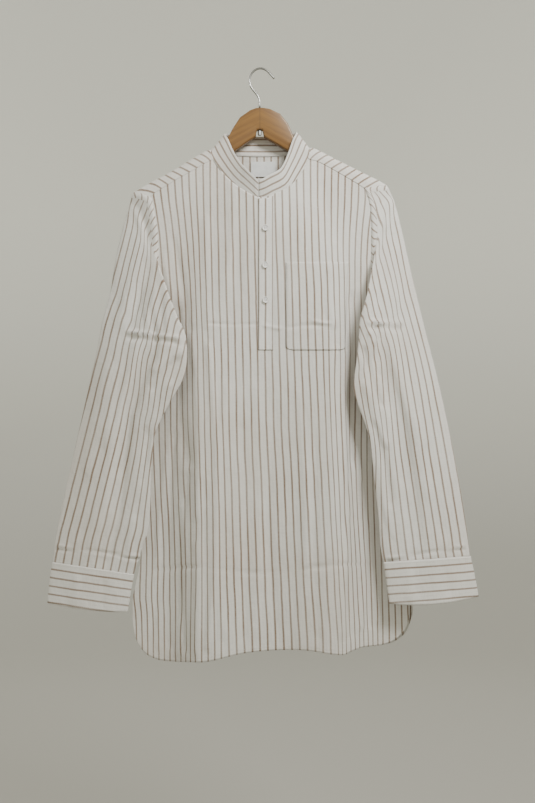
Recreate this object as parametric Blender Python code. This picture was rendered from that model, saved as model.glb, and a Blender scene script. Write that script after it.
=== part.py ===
"""Kurta tunic on a wooden hanger. Lengths in the tables are millimetres.

Frame: +Z up, the front of the garment faces -Y, +X is to the right of someone who looks at the
front. The origin is the inner top of the hook. The tables give each point where it is seen on
the plane y = SEEN_PLANE by someone in front of the garment, and seen() moves it along the sight
line to its own depth y.
"""
import math

import bmesh
import bpy
import numpy as np

MM = 0.001
SEEN_PLANE = -40.0
EYE_X = 12.9
EYE_Y = -1600.0
EYE_Z = -535.7

# Thickness of the cloth, of the folded bands, of what is sewn on, and the label.
CLOTH = 1.2
BAND_CLOTH = 1.8
PATCH_CLOTH = 0.9
LABEL_CLOTH = 0.6
# Gaps along the seams, centre line to centre line, and below a patch, face to face.
SEAM_GAP = 0.4
LAY_GAP = 0.35
SLEEVE_SEAM = 1.0
COLLAR_SEAM = 2.0
COLLAR_LAP = 1.0
CUFF_SEAM = 0.7
# Hard pieces.
HOOK_WIRE = 3.4
BUTTON_WIDTH = 10.0
BUTTON_THICK = 2.2
BUTTON_RIM = 0.7
WOOD_THICK = 13.0
WOOD_END_THICK = 10.0
WOOD_BEVEL = 2.4
NUT_WIDTH = 6.0
NUT_HEIGHT = 7.0
NUT_TOP_Z = -109.4
# Rows of the body's grids: below the top line, above the hem, and round the shoulder.
TOP_ROWS = 5
HEM_ROWS = 3
WRAP_DROP = 14.0
WRAP_STEPS = 6
SECTION_STEPS = 160
LIMIT_ROUNDS = 30
# Sleeve rings: columns of the six key points at the armhole and from CAP_ROWS down, the shares of
# the width at which the front's two key points and the valley lie, and the first rings' reach.
CAP_COLUMNS = np.array([0, 7.2, 10.4, 13, 17, 23])
ARM_COLUMNS = np.array([0, 4.5, 8.5, 13, 17, 23])
CAP_ROWS = 3.0
RING_COLUMNS = 29
INNER_COLUMN = 13
SLEEVE_STEPS = 18
UPPER_SHARE = 0.33
LOWER_SHARE = 0.68
LOWER_LIFT = 0.6
LOWER_FORWARD = 4.0
TROUGH_SHARE = 0.62
TROUGH_WIDTH = 13.0
CORNER_REACH = 1.0
UNDERARM_OUT = 0.82
UNDERARM_DOWN = 0.57
SECOND_REACH = 2.4
THIRD_SHARE = 0.45
CUFF_RINGS = 5
COLLAR_SHARES = (0.0, 0.33, 0.67, 1.0)
PLACKET_TOP_CUT = 0.03
POCKET_CORNER_UP = 0.35
POCKET_CORNER_IN = 0.105

for old in list(bpy.data.objects):
    bpy.data.objects.remove(old, do_unlink=True)


def table(header, *rows):
    """Named columns from a short table."""
    names = header.split()
    return {name: np.array([row[i] for row in rows], float) for i, name in enumerate(names)}


# Side edges of the front and the back at each height: armhole, side seam, slit, rounded corner.
FRONT_EDGE = table("at_z left_x right_x edge_y",
    (-139.6, -181.6, 155.4, -10),
    (-194.7, -176.9, 165.7, -10.5),
    (-215.2, -172.2, 172.8, -11.5),
    (-246.7, -164.3, 176.7, -13),
    (-281.3, -160.3, 177.5, -14),
    (-316, -159.6, 176.7, -14),
    (-352.2, -161.1, 179.1, -12),
    (-383.7, -165.9, 186.9, -8),
    (-415.2, -176.9, 199.5, -3.5),
    (-446.7, -192.6, 212.1, -0.8),
    (-533.3, -191.8, 216.9, -0.8),
    (-659.3, -188.7, 224.7, -0.8),
    (-766.4, -185.5, 232.6, -0.8),
    (-809, -191.1, 235.8, -2),
    (-848.3, -199.7, 236.6, -3),
    (-883, -199.7, 236.6, -4),
    (-946, -199.7, 236.6, -4))
BACK_EDGE = table("at_z left_x right_x edge_y",
    (-139.6, -197.4, 200.3, 6),
    (-196.3, -197.4, 200.3, 7),
    (-207.3, -195.8, 196.4, 8),
    (-218.3, -186.3, 190.1, 8.5),
    (-234.1, -175.3, 183.8, 9),
    (-257.7, -165.9, 179.1, 9),
    (-281.3, -161.1, 177.5, 8.5),
    (-316, -159.6, 176.7, 7),
    (-352.2, -161.1, 179.1, 5),
    (-383.7, -165.9, 186.9, 3),
    (-415.2, -176.9, 199.5, 2.6),
    (-446.7, -192.6, 212.1, 0.8),
    (-533.3, -191.8, 216.9, 0.8),
    (-659.3, -188.7, 224.7, 0.8),
    (-766.4, -185.5, 232.6, 0.8),
    (-809, -189.5, 238.9, 2),
    (-848.3, -195.8, 242.1, 3),
    (-946, -195.8, 242.1, 4))
# The front's folds at each height: two standing ridges, the hollow between, the foot of each.
FRONT_FOLD = table("at_z foot_l_x foot_l_y top_l_x top_l_y mid_x mid_y top_r_x top_r_y foot_r_x foot_r_y",
    (-139.6, -121.8, -9.5, -80.8, -9.5, 4.2, -15, 92.4, -9.5, 136.5, -9.5),
    (-218.3, -124.9, -13, -79.2, -17, 4.2, -29, 95.6, -17, 139.7, -13),
    (-316, -128.1, -16, -80.8, -26, 5.8, -32, 105, -31, 142.8, -17),
    (-446.7, -137.5, -13, -82.4, -34, 9, -34, 112.9, -41, 146, -15),
    (-612.1, -142.2, -11, -84, -44, 10.5, -37, 117.6, -49, 153.9, -12),
    (-769.6, -145.4, -10, -84, -49, 12.1, -39, 119.2, -54, 168, -10),
    (-946, -147, -10, -85.5, -54, 13.7, -41, 127.1, -58, 180.6, -10))
# The back's shallower folds: three ridges.
BACK_FOLD = table("at_z top_l_y dip_l_y top_m_y dip_r_y top_r_y",
    (-139.6, 9.5, 10, 11, 10, 9.5),
    (-218.3, 10, 11, 12, 11, 10),
    (-375.8, 12, 12, 13, 12, 12),
    (-612.1, 17, 12, 17, 12, 18),
    (-946, 22, 11, 20, 11, 24))
# Top line of the front: left armhole, forward shoulder seam, neck, seam, right armhole.
FRONT_TOP = table("at_x line_z",
    (-181.6, -223.1),
    (-172.2, -213.6),
    (-164.3, -205),
    (-154.8, -199.4),
    (-145.4, -193.1),
    (-123.3, -180.5),
    (-101.3, -167.9),
    (-80.8, -156.1),
    (-72.9, -151.4),
    (-65.1, -166.4),
    (-52.5, -180.5),
    (-38.3, -193.1),
    (-22.5, -203.4),
    (-8.4, -211.3),
    (1.1, -213.6),
    (10.5, -212.8),
    (20, -209.7),
    (37.3, -201.8),
    (48.3, -195.5),
    (57.8, -186.8),
    (68.8, -171.1),
    (76.7, -150.6),
    (95.6, -157.7),
    (117.6, -169.5),
    (139.7, -182.1),
    (160.2, -194.7),
    (175.9, -205.7))
# Hem of the front along its width, and how much lower or higher the back hangs.
FRONT_HEM = table("at_x line_z",
    (-199.6, -876.7),
    (-196.6, -900.3),
    (-189.5, -919.2),
    (-178.5, -932.6),
    (-165.9, -940.5),
    (-147, -944.4),
    (-117, -946),
    (-88.7, -946.8),
    (-71.4, -943.6),
    (-52.5, -938.9),
    (-30.4, -933.4),
    (-5.2, -929.8),
    (16.8, -927.9),
    (40.5, -926.8),
    (64.1, -927.1),
    (87.7, -929.5),
    (108.2, -933.1),
    (125.5, -935.9),
    (135, -934.2),
    (147.6, -927.9),
    (161.7, -922.4),
    (182.2, -920.5),
    (202.7, -916.1),
    (215.3, -909),
    (224.7, -900.3),
    (231, -890.9),
    (234.2, -883),
    (236.6, -875.9))
BACK_HEM = table("at_x line_z",
    (-195.5, -879.8),
    (-191.1, -901.9),
    (-181.6, -919.2),
    (-162.7, -927.1),
    (-124.9, -930.2),
    (9, -930.2),
    (142.8, -928.7),
    (198, -923.9),
    (221.6, -912.9),
    (235.8, -897.2),
    (241.7, -873.5))
# Highest line of the back: shoulder, neck seam at the back, shoulder. turn is how far round the
# cloth goes over the shoulder: 1 comes down to the forward seam, 0.5 ends on the ridge.
BACK_RIDGE = table("at_x line_z turn front_x",
    (-197.4, -206.5, 1, -172.2),
    (-187.9, -201, 1, -165.9),
    (-165.9, -188.4, 1, -150.9),
    (-139.1, -174.2, 1, -129.6),
    (-112.3, -157.7, 1, -106),
    (-93.4, -146.7, 1, -87.1),
    (-83.2, -141.2, 1, -72.9),
    (-79.2, -139.4, 0.8, -74),
    (-75.3, -139, 0.5, -75.3),
    (-63.5, -142.7, 0.2, -63.5),
    (-47.7, -145.9, 0.1, -47.7),
    (-25.7, -148.3, 0.1, -25.7),
    (1.1, -149, 0.1, 1.1),
    (29.4, -148.3, 0.1, 29.4),
    (49.9, -145.9, 0.1, 49.9),
    (67.2, -142, 0.2, 67.2),
    (78.3, -136.1, 0.5, 78.3),
    (81.4, -136, 0.8, 77.3),
    (86.1, -137.4, 1, 76.7),
    (98.7, -143.2, 1, 92.4),
    (117.6, -153, 1, 112.1),
    (142.8, -165.6, 1, 135),
    (168, -178.2, 1, 153.1),
    (190.1, -189.2, 1, 162.5),
    (200.3, -195.5, 1, 167.1))
# Upper edge of the band collar, a row for each point of the neck seam, from the middle of the
# front round by the left, the back and the right.
COLLAR_TOP = table("at_x at_z depth",
    (-1.6, -187.2, -33.5),
    (-18.6, -171.1, -31),
    (-30.4, -158.5, -25),
    (-39.9, -142.7, -18),
    (-48.8, -123.1, -10.5),
    (-52, -117.5, -5),
    (-54, -114.1, 3),
    (-51.2, -114.4, 9),
    (-41.4, -116.8, 14),
    (-23.3, -118.8, 16.5),
    (1.1, -119.1, 17),
    (26.3, -118.8, 16.5),
    (44.4, -116.8, 14),
    (55.1, -112.8, 9),
    (59, -110.9, 3),
    (57.5, -113.6, -4),
    (53.1, -121.5, -10.5),
    (43.6, -149, -18),
    (33.4, -168.7, -27),
    (16.1, -178.2, -32),
    (6.6, -183.7, -33),
    (-0.6, -186.8, -33.6))
# Armhole rings and sleeve sections, from the shoulder to the cuff. outer is the fold on the
# outside, inner the fold that lies over the body, under the underarm line behind it. lift moves
# the front of the section sideways over the armhole seam, trough is the valley down the sleeve.
SLEEVE_L = table("out_x out_z in_x in_z under_x under_z out_y front_y in_y under_y back_y lift trough",
    (-204.4, -226.2, -113.9, -454.6, -202.9, -456.2, 0, -18, -38, -7, 9, 9, 0),
    (-215.5, -267.2, -114.7, -475.1, -208.4, -467.2, -1, -22, -42, -12, 7, 3, 3),
    (-225.7, -312.8, -118.1, -495.5, -214.7, -482.9, -3, -25, -43, -18, 3, 0, 6),
    (-232.8, -360.1, -128.8, -516, -221, -501.8, -5, -29, -43, -21, -1, 0, 9),
    (-246.2, -407.3, -140.7, -536.5, -225.7, -523.9, -7, -32, -42, -23, -4, 0, 11),
    (-255.2, -454.6, -154, -561.7, -230.4, -547.5, -9, -34, -40, -21, -5, 0, 12),
    (-265.9, -501.8, -166.6, -590, -235.2, -572.7, -10, -35, -38, -20, -6, 0, 12),
    (-287.1, -596.3, -170.9, -649.9, -241.5, -627.8, -13, -35, -36, -18, -7, 0, 10),
    (-308.4, -690.8, -172.9, -722.3, -246.2, -701.9, -15, -35, -33, -17, -8, 0, 8),
    (-321, -755.4, -186.3, -769.6, -249.3, -763.3, -16, -33, -30, -16, -9, 0, 6),
    (-324.9, -790.1, -198.1, -809, -249.3, -801.1, -17, -31, -27, -15, -10, 0, 2))
SLEEVE_R = table("out_x out_z in_x in_z under_x under_z out_y front_y in_y under_y back_y lift trough",
    (211.3, -218.3, 158.6, -431, 221.6, -456.2, 0, -18, -36, -7, 9, 8, 0),
    (220.8, -254.6, 156.5, -460.9, 228.7, -465.6, -1, -21, -40, -12, 7, 3, 3),
    (231.8, -303.4, 153.2, -490.8, 234.2, -481.4, -3, -25, -42, -18, 3, 0, 6),
    (242.8, -352.2, 150.1, -519.2, 238.9, -500.3, -5, -29, -42, -21, -1, 0, 9),
    (254.7, -401, 156.7, -542.8, 242.8, -523.9, -7, -32, -42, -23, -4, 0, 11),
    (267.3, -449.9, 166.5, -569.6, 246.8, -547.5, -9, -34, -41, -22, -5, 0, 12),
    (279.9, -498.7, 174.3, -596.3, 250.7, -572.7, -10, -35, -40, -21, -6, 0, 12),
    (301.9, -596.3, 181.4, -659.3, 256.2, -629.4, -13, -36, -38, -20, -8, 0, 10),
    (319.2, -690.8, 188.5, -723.9, 261, -703.4, -16, -37, -36, -19, -10, 0, 8),
    (328.7, -753.8, 190.9, -763.3, 264.1, -757, -18, -37, -35, -19, -12, 0, 6),
    (331.8, -780.6, 196.4, -790.1, 265.7, -785.3, -19, -36, -34, -19, -13, 0, 2))
CUFF_L = table("out_x out_z in_x in_z sag",
    (-325.4, -790.9, -198.5, -809.8, 0),
    (-329.3, -816.8, -202.7, -832.6, 3),
    (-332.8, -853.1, -208.1, -867.2, 4))
CUFF_R = table("out_x out_z in_x in_z sag",
    (332.3, -781.4, 196.9, -791.6, 2),
    (338.9, -812.1, 201.1, -820, 5),
    (344.4, -842.8, 205.8, -853.9, 7))
# Wooden hanger: upper and lower edge along its length.
HANGER = table("at_x top_z low_z",
    (-167.4, -204.2, -212),
    (-161.1, -199.4, -219.1),
    (-139.1, -185.3, -206.5),
    (-112.3, -169.5, -190),
    (-79.2, -150.6, -171.1),
    (-63.5, -138.8, -158.5),
    (-50.9, -123.8, -150.6),
    (-41.4, -105.7, -144),
    (-30.4, -89.2, -136.4),
    (-14.7, -78.2, -125.4),
    (-6, -74.9, -119.9),
    (-3.6, -74.5, -108.9),
    (5, -74.2, -108.9),
    (7.4, -74.5, -119.6),
    (16.8, -76, -125.4),
    (32.6, -83.7, -134.4),
    (45.2, -99.4, -142.1),
    (53.8, -119.1, -147.5),
    (64.1, -133.3, -154.6),
    (83, -147.5, -167.9),
    (117.6, -165.6, -186.1),
    (142.8, -178.2, -197.9),
    (161.7, -189.2, -207.3),
    (168, -193.9, -202.6))
HOOK = table("at_x at_z",
    (0.5, -73.4),
    (0.3, -60.8),
    (-2.1, -53.8),
    (-7.9, -47.5),
    (-13.4, -40.8),
    (-15.9, -32.5),
    (-15, -24),
    (-10.6, -16.6),
    (-3.6, -11.3),
    (4.7, -10.7),
    (12.4, -14.2),
    (17.8, -20.5),
    (23.5, -27.1))
# Heights of the front's straight rows and the back's.
FRONT_LEVEL = table("at_z",
    (-316,),
    (-338,),
    (-361.7,),
    (-385.3,),
    (-396.3,),
    (-407.3,),
    (-418.4,),
    (-427.8,),
    (-437.3,),
    (-446.7,),
    (-454.6,),
    (-479.8,),
    (-508.1,),
    (-538.1,),
    (-569.6,),
    (-602.6,),
    (-637.3,),
    (-671.9,),
    (-706.6,),
    (-738.1,),
    (-766.4,),
    (-796.4,),
    (-826.3,),
    (-851.5,),
    (-870.4,))
BACK_LEVEL = table("at_z",
    (-257.7,),
    (-281.3,),
    (-316,),
    (-352.2,),
    (-383.7,),
    (-415.2,),
    (-431,),
    (-446.7,),
    (-489.2,),
    (-533.3,),
    (-580.6,),
    (-631,),
    (-681.4,),
    (-728.6,),
    (-766.4,),
    (-801.1,),
    (-835.7,),
    (-870.4,))
BUTTON_SPOTS = table("at_x at_z",
    (9.6, -262.4),
    (9.6, -320.7),
    (10.1, -375.8))
LABEL = table("left_x mid_x right_x top_z low_z",
    (-13.1, 5.8, 25.5, -158.5, -182.1))

# Places along the front's width, measured on the cloth from the placket line; the outer ones
# share out what is left up to the armhole or side.
FRONT_PLACES = (-125, -104, -84, -65.5, -47, -29, -11.5, 0, 11.5, 32, 50, 68, 86, 104, 123, 145)
SIDE_SHARES = (0.3, 0.55, 0.75, 0.86, 0.93, 0.97, 1.0)
PLACKET_X = 9.8
NECK_LEFT = -84
NECK_RIGHT = 68
PLACKET_PLACES = (-11.5, 0, 11.5)
POCKET_PLACES = (32, 50, 68, 86, 104, 123, 145)
# Shares of the back's width at which its folds are given.
BACK_SHARES = (0.0, 0.16, 0.34, 0.5, 0.66, 0.84, 1.0)
# Rows of the front's levels: the underarm, the pocket's top edge, and its foot.
UNDERARM_ROW = 9
POCKET_TOP = 0
POCKET_FOOT = 10
UNDERARM_Z = FRONT_LEVEL["at_z"][UNDERARM_ROW]
# How far forward the sleeve leaves each point of its armhole.
LEAD = table("at_column forward",
    (0, 0),
    (3, -2),
    (6, -3.5),
    (12, -5),
    (15, -4.5),
    (16, -3.5),
    (17, -0.9),
    (18, 1),
    (19, 1.5),
    (22, 2.5),
    (25, 2),
    (28, 0))


def smooth(knots, values, at):
    """Smooth line through the values at the knots, without overshoot."""
    order = np.argsort(knots)
    knots = np.asarray(knots, float)[order]
    values = np.asarray(values, float)[order]
    step = np.diff(knots)
    slope = np.diff(values) / step
    lean = np.empty(len(values))
    lean[0] = slope[0]
    lean[-1] = slope[-1]
    same_way = slope[:-1] * slope[1:] > 0
    total = np.where(same_way, slope[:-1] + slope[1:], 1.0)
    lean[1:-1] = np.where(same_way, 2.0 * slope[:-1] * slope[1:] / total, 0.0)
    at = np.clip(np.asarray(at, float), knots[0], knots[-1])
    i = np.clip(np.searchsorted(knots, at, side="right") - 1, 0, len(step) - 1)
    t = (at - knots[i]) / step[i]
    rest = 1.0 - t
    start = values[i] * (1.0 + 2.0 * t) * rest ** 2 + lean[i] * step[i] * t * rest ** 2
    end = values[i + 1] * t ** 2 * (3.0 - 2.0 * t) - lean[i + 1] * step[i] * t ** 2 * rest
    return start + end


def look(rows, column, height):
    """One column of a table at a height."""
    return float(smooth(rows["at_z"], rows[column], height))


def seen(points):
    """Points (seen x, seen z, depth y) in millimetres to their real place in metres."""
    points = np.asarray(points, float)
    x = points[..., 0]
    z = points[..., 1]
    y = points[..., 2]
    reach = (y - EYE_Y) / (SEEN_PLANE - EYE_Y)
    real = np.stack([EYE_X + (x - EYE_X) * reach, y, EYE_Z + (z - EYE_Z) * reach], axis=-1)
    return real * MM


def front_section(height):
    """The front's section at one height: x, y, and distance on the cloth from the placket."""
    left = look(FRONT_EDGE, "left_x", height)
    right = look(FRONT_EDGE, "right_x", height)
    side = look(FRONT_EDGE, "edge_y", height)
    knots_x = [left]
    knots_y = [side]
    for name in ("foot_l", "top_l", "mid", "top_r", "foot_r"):
        knots_x.append(look(FRONT_FOLD, name + "_x", height))
        knots_y.append(look(FRONT_FOLD, name + "_y", height))
    knots_x.append(right)
    knots_y.append(side)
    x = np.linspace(left, right, SECTION_STEPS)
    y = smooth(knots_x, knots_y, x)
    along = np.concatenate([[0.0], np.cumsum(np.hypot(np.diff(x), np.diff(y)))])
    return x, y, along - np.interp(PLACKET_X, x, along)


def front_places(height):
    """Every column of the front at one height, left to right: seen x and depth y."""
    x, y, along = front_section(height)
    first = FRONT_PLACES[0]
    last = FRONT_PLACES[-1]
    left = [first + (along[0] - first) * share for share in reversed(SIDE_SHARES)]
    right = [last + (along[-1] - last) * share for share in SIDE_SHARES]
    places = np.array(left + list(FRONT_PLACES) + right)
    at_x = np.interp(places, along, x)
    return at_x, np.interp(at_x, x, y)


def front_limit(column, line, start):
    """Height at which one column of the front meets its top line or hem."""
    height = start
    for _ in range(LIMIT_ROUNDS):
        at_x = front_places(height)[0][column]
        height = float(smooth(line["at_x"], line["line_z"], at_x))
    return height


def front_grid():
    """Rows of points from the top line of the front to its hem."""
    columns = len(FRONT_PLACES) + 2 * len(SIDE_SHARES)
    levels = list(FRONT_LEVEL["at_z"])
    tops = [front_limit(c, FRONT_TOP, levels[0]) for c in range(columns)]
    hems = [front_limit(c, FRONT_HEM, levels[-1]) for c in range(columns)]
    rows = []
    for r in range(TOP_ROWS):
        rows.append([tops[c] + (levels[0] - tops[c]) * r / TOP_ROWS for c in range(columns)])
    for level in levels:
        rows.append([level] * columns)
    for r in range(1, HEM_ROWS + 1):
        rows.append([levels[-1] + (hems[c] - levels[-1]) * r / HEM_ROWS for c in range(columns)])
    grid = np.zeros((len(rows), columns, 3))
    for r, heights in enumerate(rows):
        for c, height in enumerate(heights):
            at_x, depth = front_places(height)
            grid[r, c] = (at_x[c], height, depth[c])
    return grid


def back_place(share, height):
    """A point of the back: share of its width from the left, and height."""
    left = look(BACK_EDGE, "left_x", height)
    right = look(BACK_EDGE, "right_x", height)
    side = look(BACK_EDGE, "edge_y", height)
    depths = [side] + [look(BACK_FOLD, name, height) for name in
                       ("top_l_y", "dip_l_y", "top_m_y", "dip_r_y", "top_r_y")] + [side]
    depth = float(smooth(BACK_SHARES, depths, share))
    return left + share * (right - left), depth


def back_grid(front):
    """Rows of the back from the forward seam, over the shoulder, down to the hem."""
    ridge = BACK_RIDGE
    width = ridge["at_x"][-1] - ridge["at_x"][0]
    columns = []
    for c, ridge_x in enumerate(ridge["at_x"]):
        share = (ridge_x - ridge["at_x"][0]) / width
        ridge_z = ridge["line_z"][c]
        turn = ridge["turn"][c]
        foot_z = ridge_z - WRAP_DROP
        foot_x, back_y = back_place(share, foot_z)
        end_x = ridge["front_x"][c]
        end_z = ridge_z
        front_y = -back_y
        if turn > 0.5:
            line_z = float(smooth(FRONT_TOP["at_x"], FRONT_TOP["line_z"], end_x))
            end_z = line_z + SEAM_GAP + CLOTH * 0.25
            front_y = float(np.interp(end_x, front[0, :, 0], front[0, :, 2]))
        path = []
        for k in range(WRAP_STEPS, 0, -1):
            angle = math.pi * turn * k / WRAP_STEPS
            rise = math.sin(angle) / math.sin(min(math.pi / 2, math.pi * turn))
            depth = back_y - (back_y - front_y) * (1.0 - math.cos(angle)) / 2.0
            if angle <= math.pi / 2:
                quarter = angle / min(math.pi / 2, math.pi * turn)
                x = foot_x + (ridge_x - foot_x) * quarter
                z = foot_z + (ridge_z - foot_z) * rise
            else:
                quarter = (angle - math.pi / 2) / (math.pi / 2)
                x = ridge_x + (end_x - ridge_x) * quarter
                z = end_z + (ridge_z - end_z) * math.sin(angle)
            path.append((x, z, depth))
        path.append((foot_x, foot_z, back_y))
        levels = list(BACK_LEVEL["at_z"])
        middle = (foot_z + levels[0]) / 2.0
        levels.insert(0, middle)
        for level in levels:
            x, depth = back_place(share, level)
            path.append((x, level, depth))
        hem = levels[-1]
        for _ in range(LIMIT_ROUNDS):
            hem = float(smooth(BACK_HEM["at_x"], BACK_HEM["line_z"], back_place(share, hem)[0]))
        for r in range(1, HEM_ROWS + 1):
            level = levels[-1] + (hem - levels[-1]) * r / HEM_ROWS
            x, depth = back_place(share, level)
            path.append((x, level, depth))
        columns.append(path)
    return np.array(columns).transpose(1, 0, 2)


def new_material(name, colour, roughness, metallic=0.0):
    material = bpy.data.materials.new(name)
    material.use_nodes = True
    shader = material.node_tree.nodes["Principled BSDF"]
    shader.inputs["Base Color"].default_value = (*colour, 1.0)
    shader.inputs["Roughness"].default_value = roughness
    shader.inputs["Metallic"].default_value = metallic
    material.diffuse_color = (*colour, 1.0)
    return material


def add_mesh(name, shape, material):
    """Object from a bmesh, smooth shaded."""
    for face in shape.faces:
        face.smooth = True
    mesh = bpy.data.meshes.new(name)
    shape.to_mesh(mesh)
    shape.free()
    mesh.materials.append(material)
    item = bpy.data.objects.new(name, mesh)
    bpy.context.scene.collection.objects.link(item)
    return item


def cloth(name, points, wall, material, tube=False, even=True):
    """A wall of cloth on rows of points; a tube's last column comes back on its first."""
    if tube:
        points = np.concatenate([points, points[:, :1]], axis=1)
    rows, columns = points.shape[:2]
    shape = bmesh.new()
    bmesh.ops.create_grid(shape, x_segments=columns - 1, y_segments=rows - 1, size=1.0)
    ordered = sorted(shape.verts, key=lambda v: (-round(v.co.y, 6), round(v.co.x, 6)))
    for vert, point in zip(ordered, points.reshape(-1, 3)):
        vert.co = point
    if tube:
        bmesh.ops.remove_doubles(shape, verts=shape.verts[:], dist=1e-7)
    item = add_mesh(name, shape, material)
    solid = item.modifiers.new("Wall", "SOLIDIFY")
    solid.thickness = wall * MM
    solid.offset = 0.0
    solid.use_even_offset = even
    return item


def normals(grid):
    """Unit normals at the points of a grid in metres, toward the front for a front facing one."""
    across = np.gradient(grid, axis=1)
    down = np.gradient(grid, axis=0)
    turned = np.cross(down, across)
    return turned / np.linalg.norm(turned, axis=-1, keepdims=True)


def spline(keys, columns, count):
    """Closed smooth ring through key points that sit at given column numbers."""
    keys = np.array(keys, float)
    columns = np.array(columns, float)
    size = len(keys)
    before = keys[np.arange(-1, size - 1) % size]
    after = keys[(np.arange(size) + 1) % size]
    gap_before = (columns - np.roll(columns, 1)) % count
    gap_after = (np.roll(columns, -1) - columns) % count
    lean = (after - before) / (gap_before + gap_after)[:, None]
    ring = []
    for c in range(count):
        i = int(np.searchsorted(columns, c, side="right")) - 1
        j = (i + 1) % size
        step = gap_after[i]
        t = (c - columns[i]) / step
        rest = 1.0 - t
        point = keys[i] * (1 + 2 * t) * rest ** 2 + lean[i] * step * t * rest ** 2
        point = point + keys[j] * t * t * (3 - 2 * t) - lean[j] * step * t * t * rest
        ring.append(point)
    return np.array(ring)


def sleeve_ring(rows, at):
    """One section of a sleeve. at is a place in its table."""
    index = np.arange(len(rows["out_x"]))
    value = {name: float(smooth(index, column, at)) for name, column in rows.items()}
    outer = np.array([value["out_x"], value["out_z"], value["out_y"]])
    inner = np.array([value["in_x"], value["in_z"], value["in_y"]])
    under = np.array([value["under_x"], value["under_z"], value["under_y"]])
    along = inner - outer
    across = np.array([-along[1], along[0], 0.0]) / np.hypot(along[0], along[1])
    if across[1] < 0:
        across = -across
    lift = across * value["lift"]
    upper = outer + along * UPPER_SHARE + lift
    upper[2] = value["front_y"]
    lower = outer + along * LOWER_SHARE + lift * LOWER_LIFT
    lower[2] = min(value["front_y"], value["in_y"]) - LOWER_FORWARD
    back = outer + (under - outer) * 0.5
    back[2] = value["back_y"]
    columns = CAP_COLUMNS + (ARM_COLUMNS - CAP_COLUMNS) * min(1.0, at / CAP_ROWS)
    ring = spline([outer, upper, lower, inner, under, back], columns, RING_COLUMNS)
    share = ((ring - outer) @ along) / (along @ along)
    far = (share - TROUGH_SHARE) * np.linalg.norm(along)
    front = np.zeros(RING_COLUMNS)
    front[1:INNER_COLUMN] = 1.0
    ring[:, 2] += value["trough"] * np.exp(-(far / TROUGH_WIDTH) ** 2) * front
    return ring


def armhole(front, back, side):
    """The edge of the body that a sleeve is sewn to, and which way is off the body there."""
    column = 0 if side < 0 else -1
    next_column = 1 if side < 0 else -2
    front_levels = list(FRONT_LEVEL["at_z"])
    under = TOP_ROWS + front_levels.index(UNDERARM_Z)
    back_levels = list(BACK_LEVEL["at_z"])
    back_under = WRAP_STEPS + 2 + back_levels.index(UNDERARM_Z)
    half = WRAP_STEPS // 2
    edge = [back[half - k, column] for k in range(half)]
    inside = [back[half - k, next_column] for k in range(half)]
    edge += [front[r, column] for r in range(under + 1)]
    inside += [front[r, next_column] for r in range(under + 1)]
    edge += [back[r, column] for r in range(back_under - 1, half, -1)]
    inside += [back[r, next_column] for r in range(back_under - 1, half, -1)]
    edge = np.array(edge)
    inside = np.array(inside)
    edge[half] = (back[0, column] + front[0, column]) / 2.0
    edge[half + under, 2] = 0.0
    along = np.roll(edge, -1, axis=0) - np.roll(edge, 1, axis=0)
    along /= np.linalg.norm(along, axis=1, keepdims=True)
    off = edge - inside
    off -= np.sum(off * along, axis=1, keepdims=True) * along
    off[half + 1: -half, 2] = 0.0
    off /= np.linalg.norm(off, axis=1, keepdims=True)
    off[half] = (off[half - 1] + off[half + 1]) * CORNER_REACH
    off[half + under] = (side * UNDERARM_OUT, -UNDERARM_DOWN, 0.0)
    return edge, off


def sleeve(rows, front, back, side):
    """The sleeve's rings from its armhole to the cuff. side is -1 for the left of the view."""
    edge, off = armhole(front, back, side)
    count = len(edge)
    column = np.arange(count)
    forward = smooth(LEAD["at_column"], LEAD["forward"], column)
    first = edge + off * SLEEVE_SEAM
    second = edge + off * SECOND_REACH
    second[:, 2] += forward
    places = np.linspace(0.0, len(rows["out_x"]) - 1.0, SLEEVE_STEPS)
    rest = [sleeve_ring(rows, at) for at in places]
    third = second + (rest[0] - second) * THIRD_SHARE
    rings = [first, second, third] + rest
    return np.array(rings)


def cuff(rows, last):
    """The cuff's rings: the sleeve's last ring carried down, widened to the cuff's edges."""
    outer = last[0]
    inner = last[INNER_COLUMN]
    along = inner - outer
    share = ((last - outer)[:, :2] @ along[:2]) / (along[:2] @ along[:2])
    depth = last[:, 2]
    rings = []
    for at in np.linspace(0.0, len(rows["out_x"]) - 1.0, CUFF_RINGS):
        index = np.arange(len(rows["out_x"]))
        value = {name: float(smooth(index, column, at)) for name, column in rows.items()}
        start = np.array([value["out_x"], value["out_z"]])
        end = np.array([value["in_x"], value["in_z"]])
        ring = np.zeros((len(last), 3))
        ring[:, :2] = start + share[:, None] * (end - start)
        ring[:, 1] -= value["sag"] * 4.0 * share * (1.0 - share)
        ring[:, 2] = depth
        rings.append(ring)
    rings[0] = last + (0.0, -CUFF_SEAM, 0.0)
    return np.array(rings)


def on_grid(grid, x, z):
    """Point of a real grid (metres) at a given x and z, and its normal."""
    turned = normals(grid)
    rows, columns = grid.shape[:2]
    for r in range(rows - 1):
        for c in range(columns - 1):
            for ids in (((r, c), (r, c + 1), (r + 1, c)), ((r + 1, c + 1), (r + 1, c), (r, c + 1))):
                corner = np.array([grid[i] for i in ids])
                flat = corner[:, [0, 2]]
                sides = np.array([flat[1] - flat[0], flat[2] - flat[0]]).T
                if abs(np.linalg.det(sides)) < 1e-12:
                    continue
                b, c2 = np.linalg.solve(sides, np.array([x, z]) - flat[0])
                if b >= -1e-6 and c2 >= -1e-6 and b + c2 <= 1 + 1e-6:
                    weight = np.array([1 - b - c2, b, c2])
                    turn = weight @ np.array([turned[i] for i in ids])
                    return weight @ corner, turn / np.linalg.norm(turn)
    raise ValueError("no point there")


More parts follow.
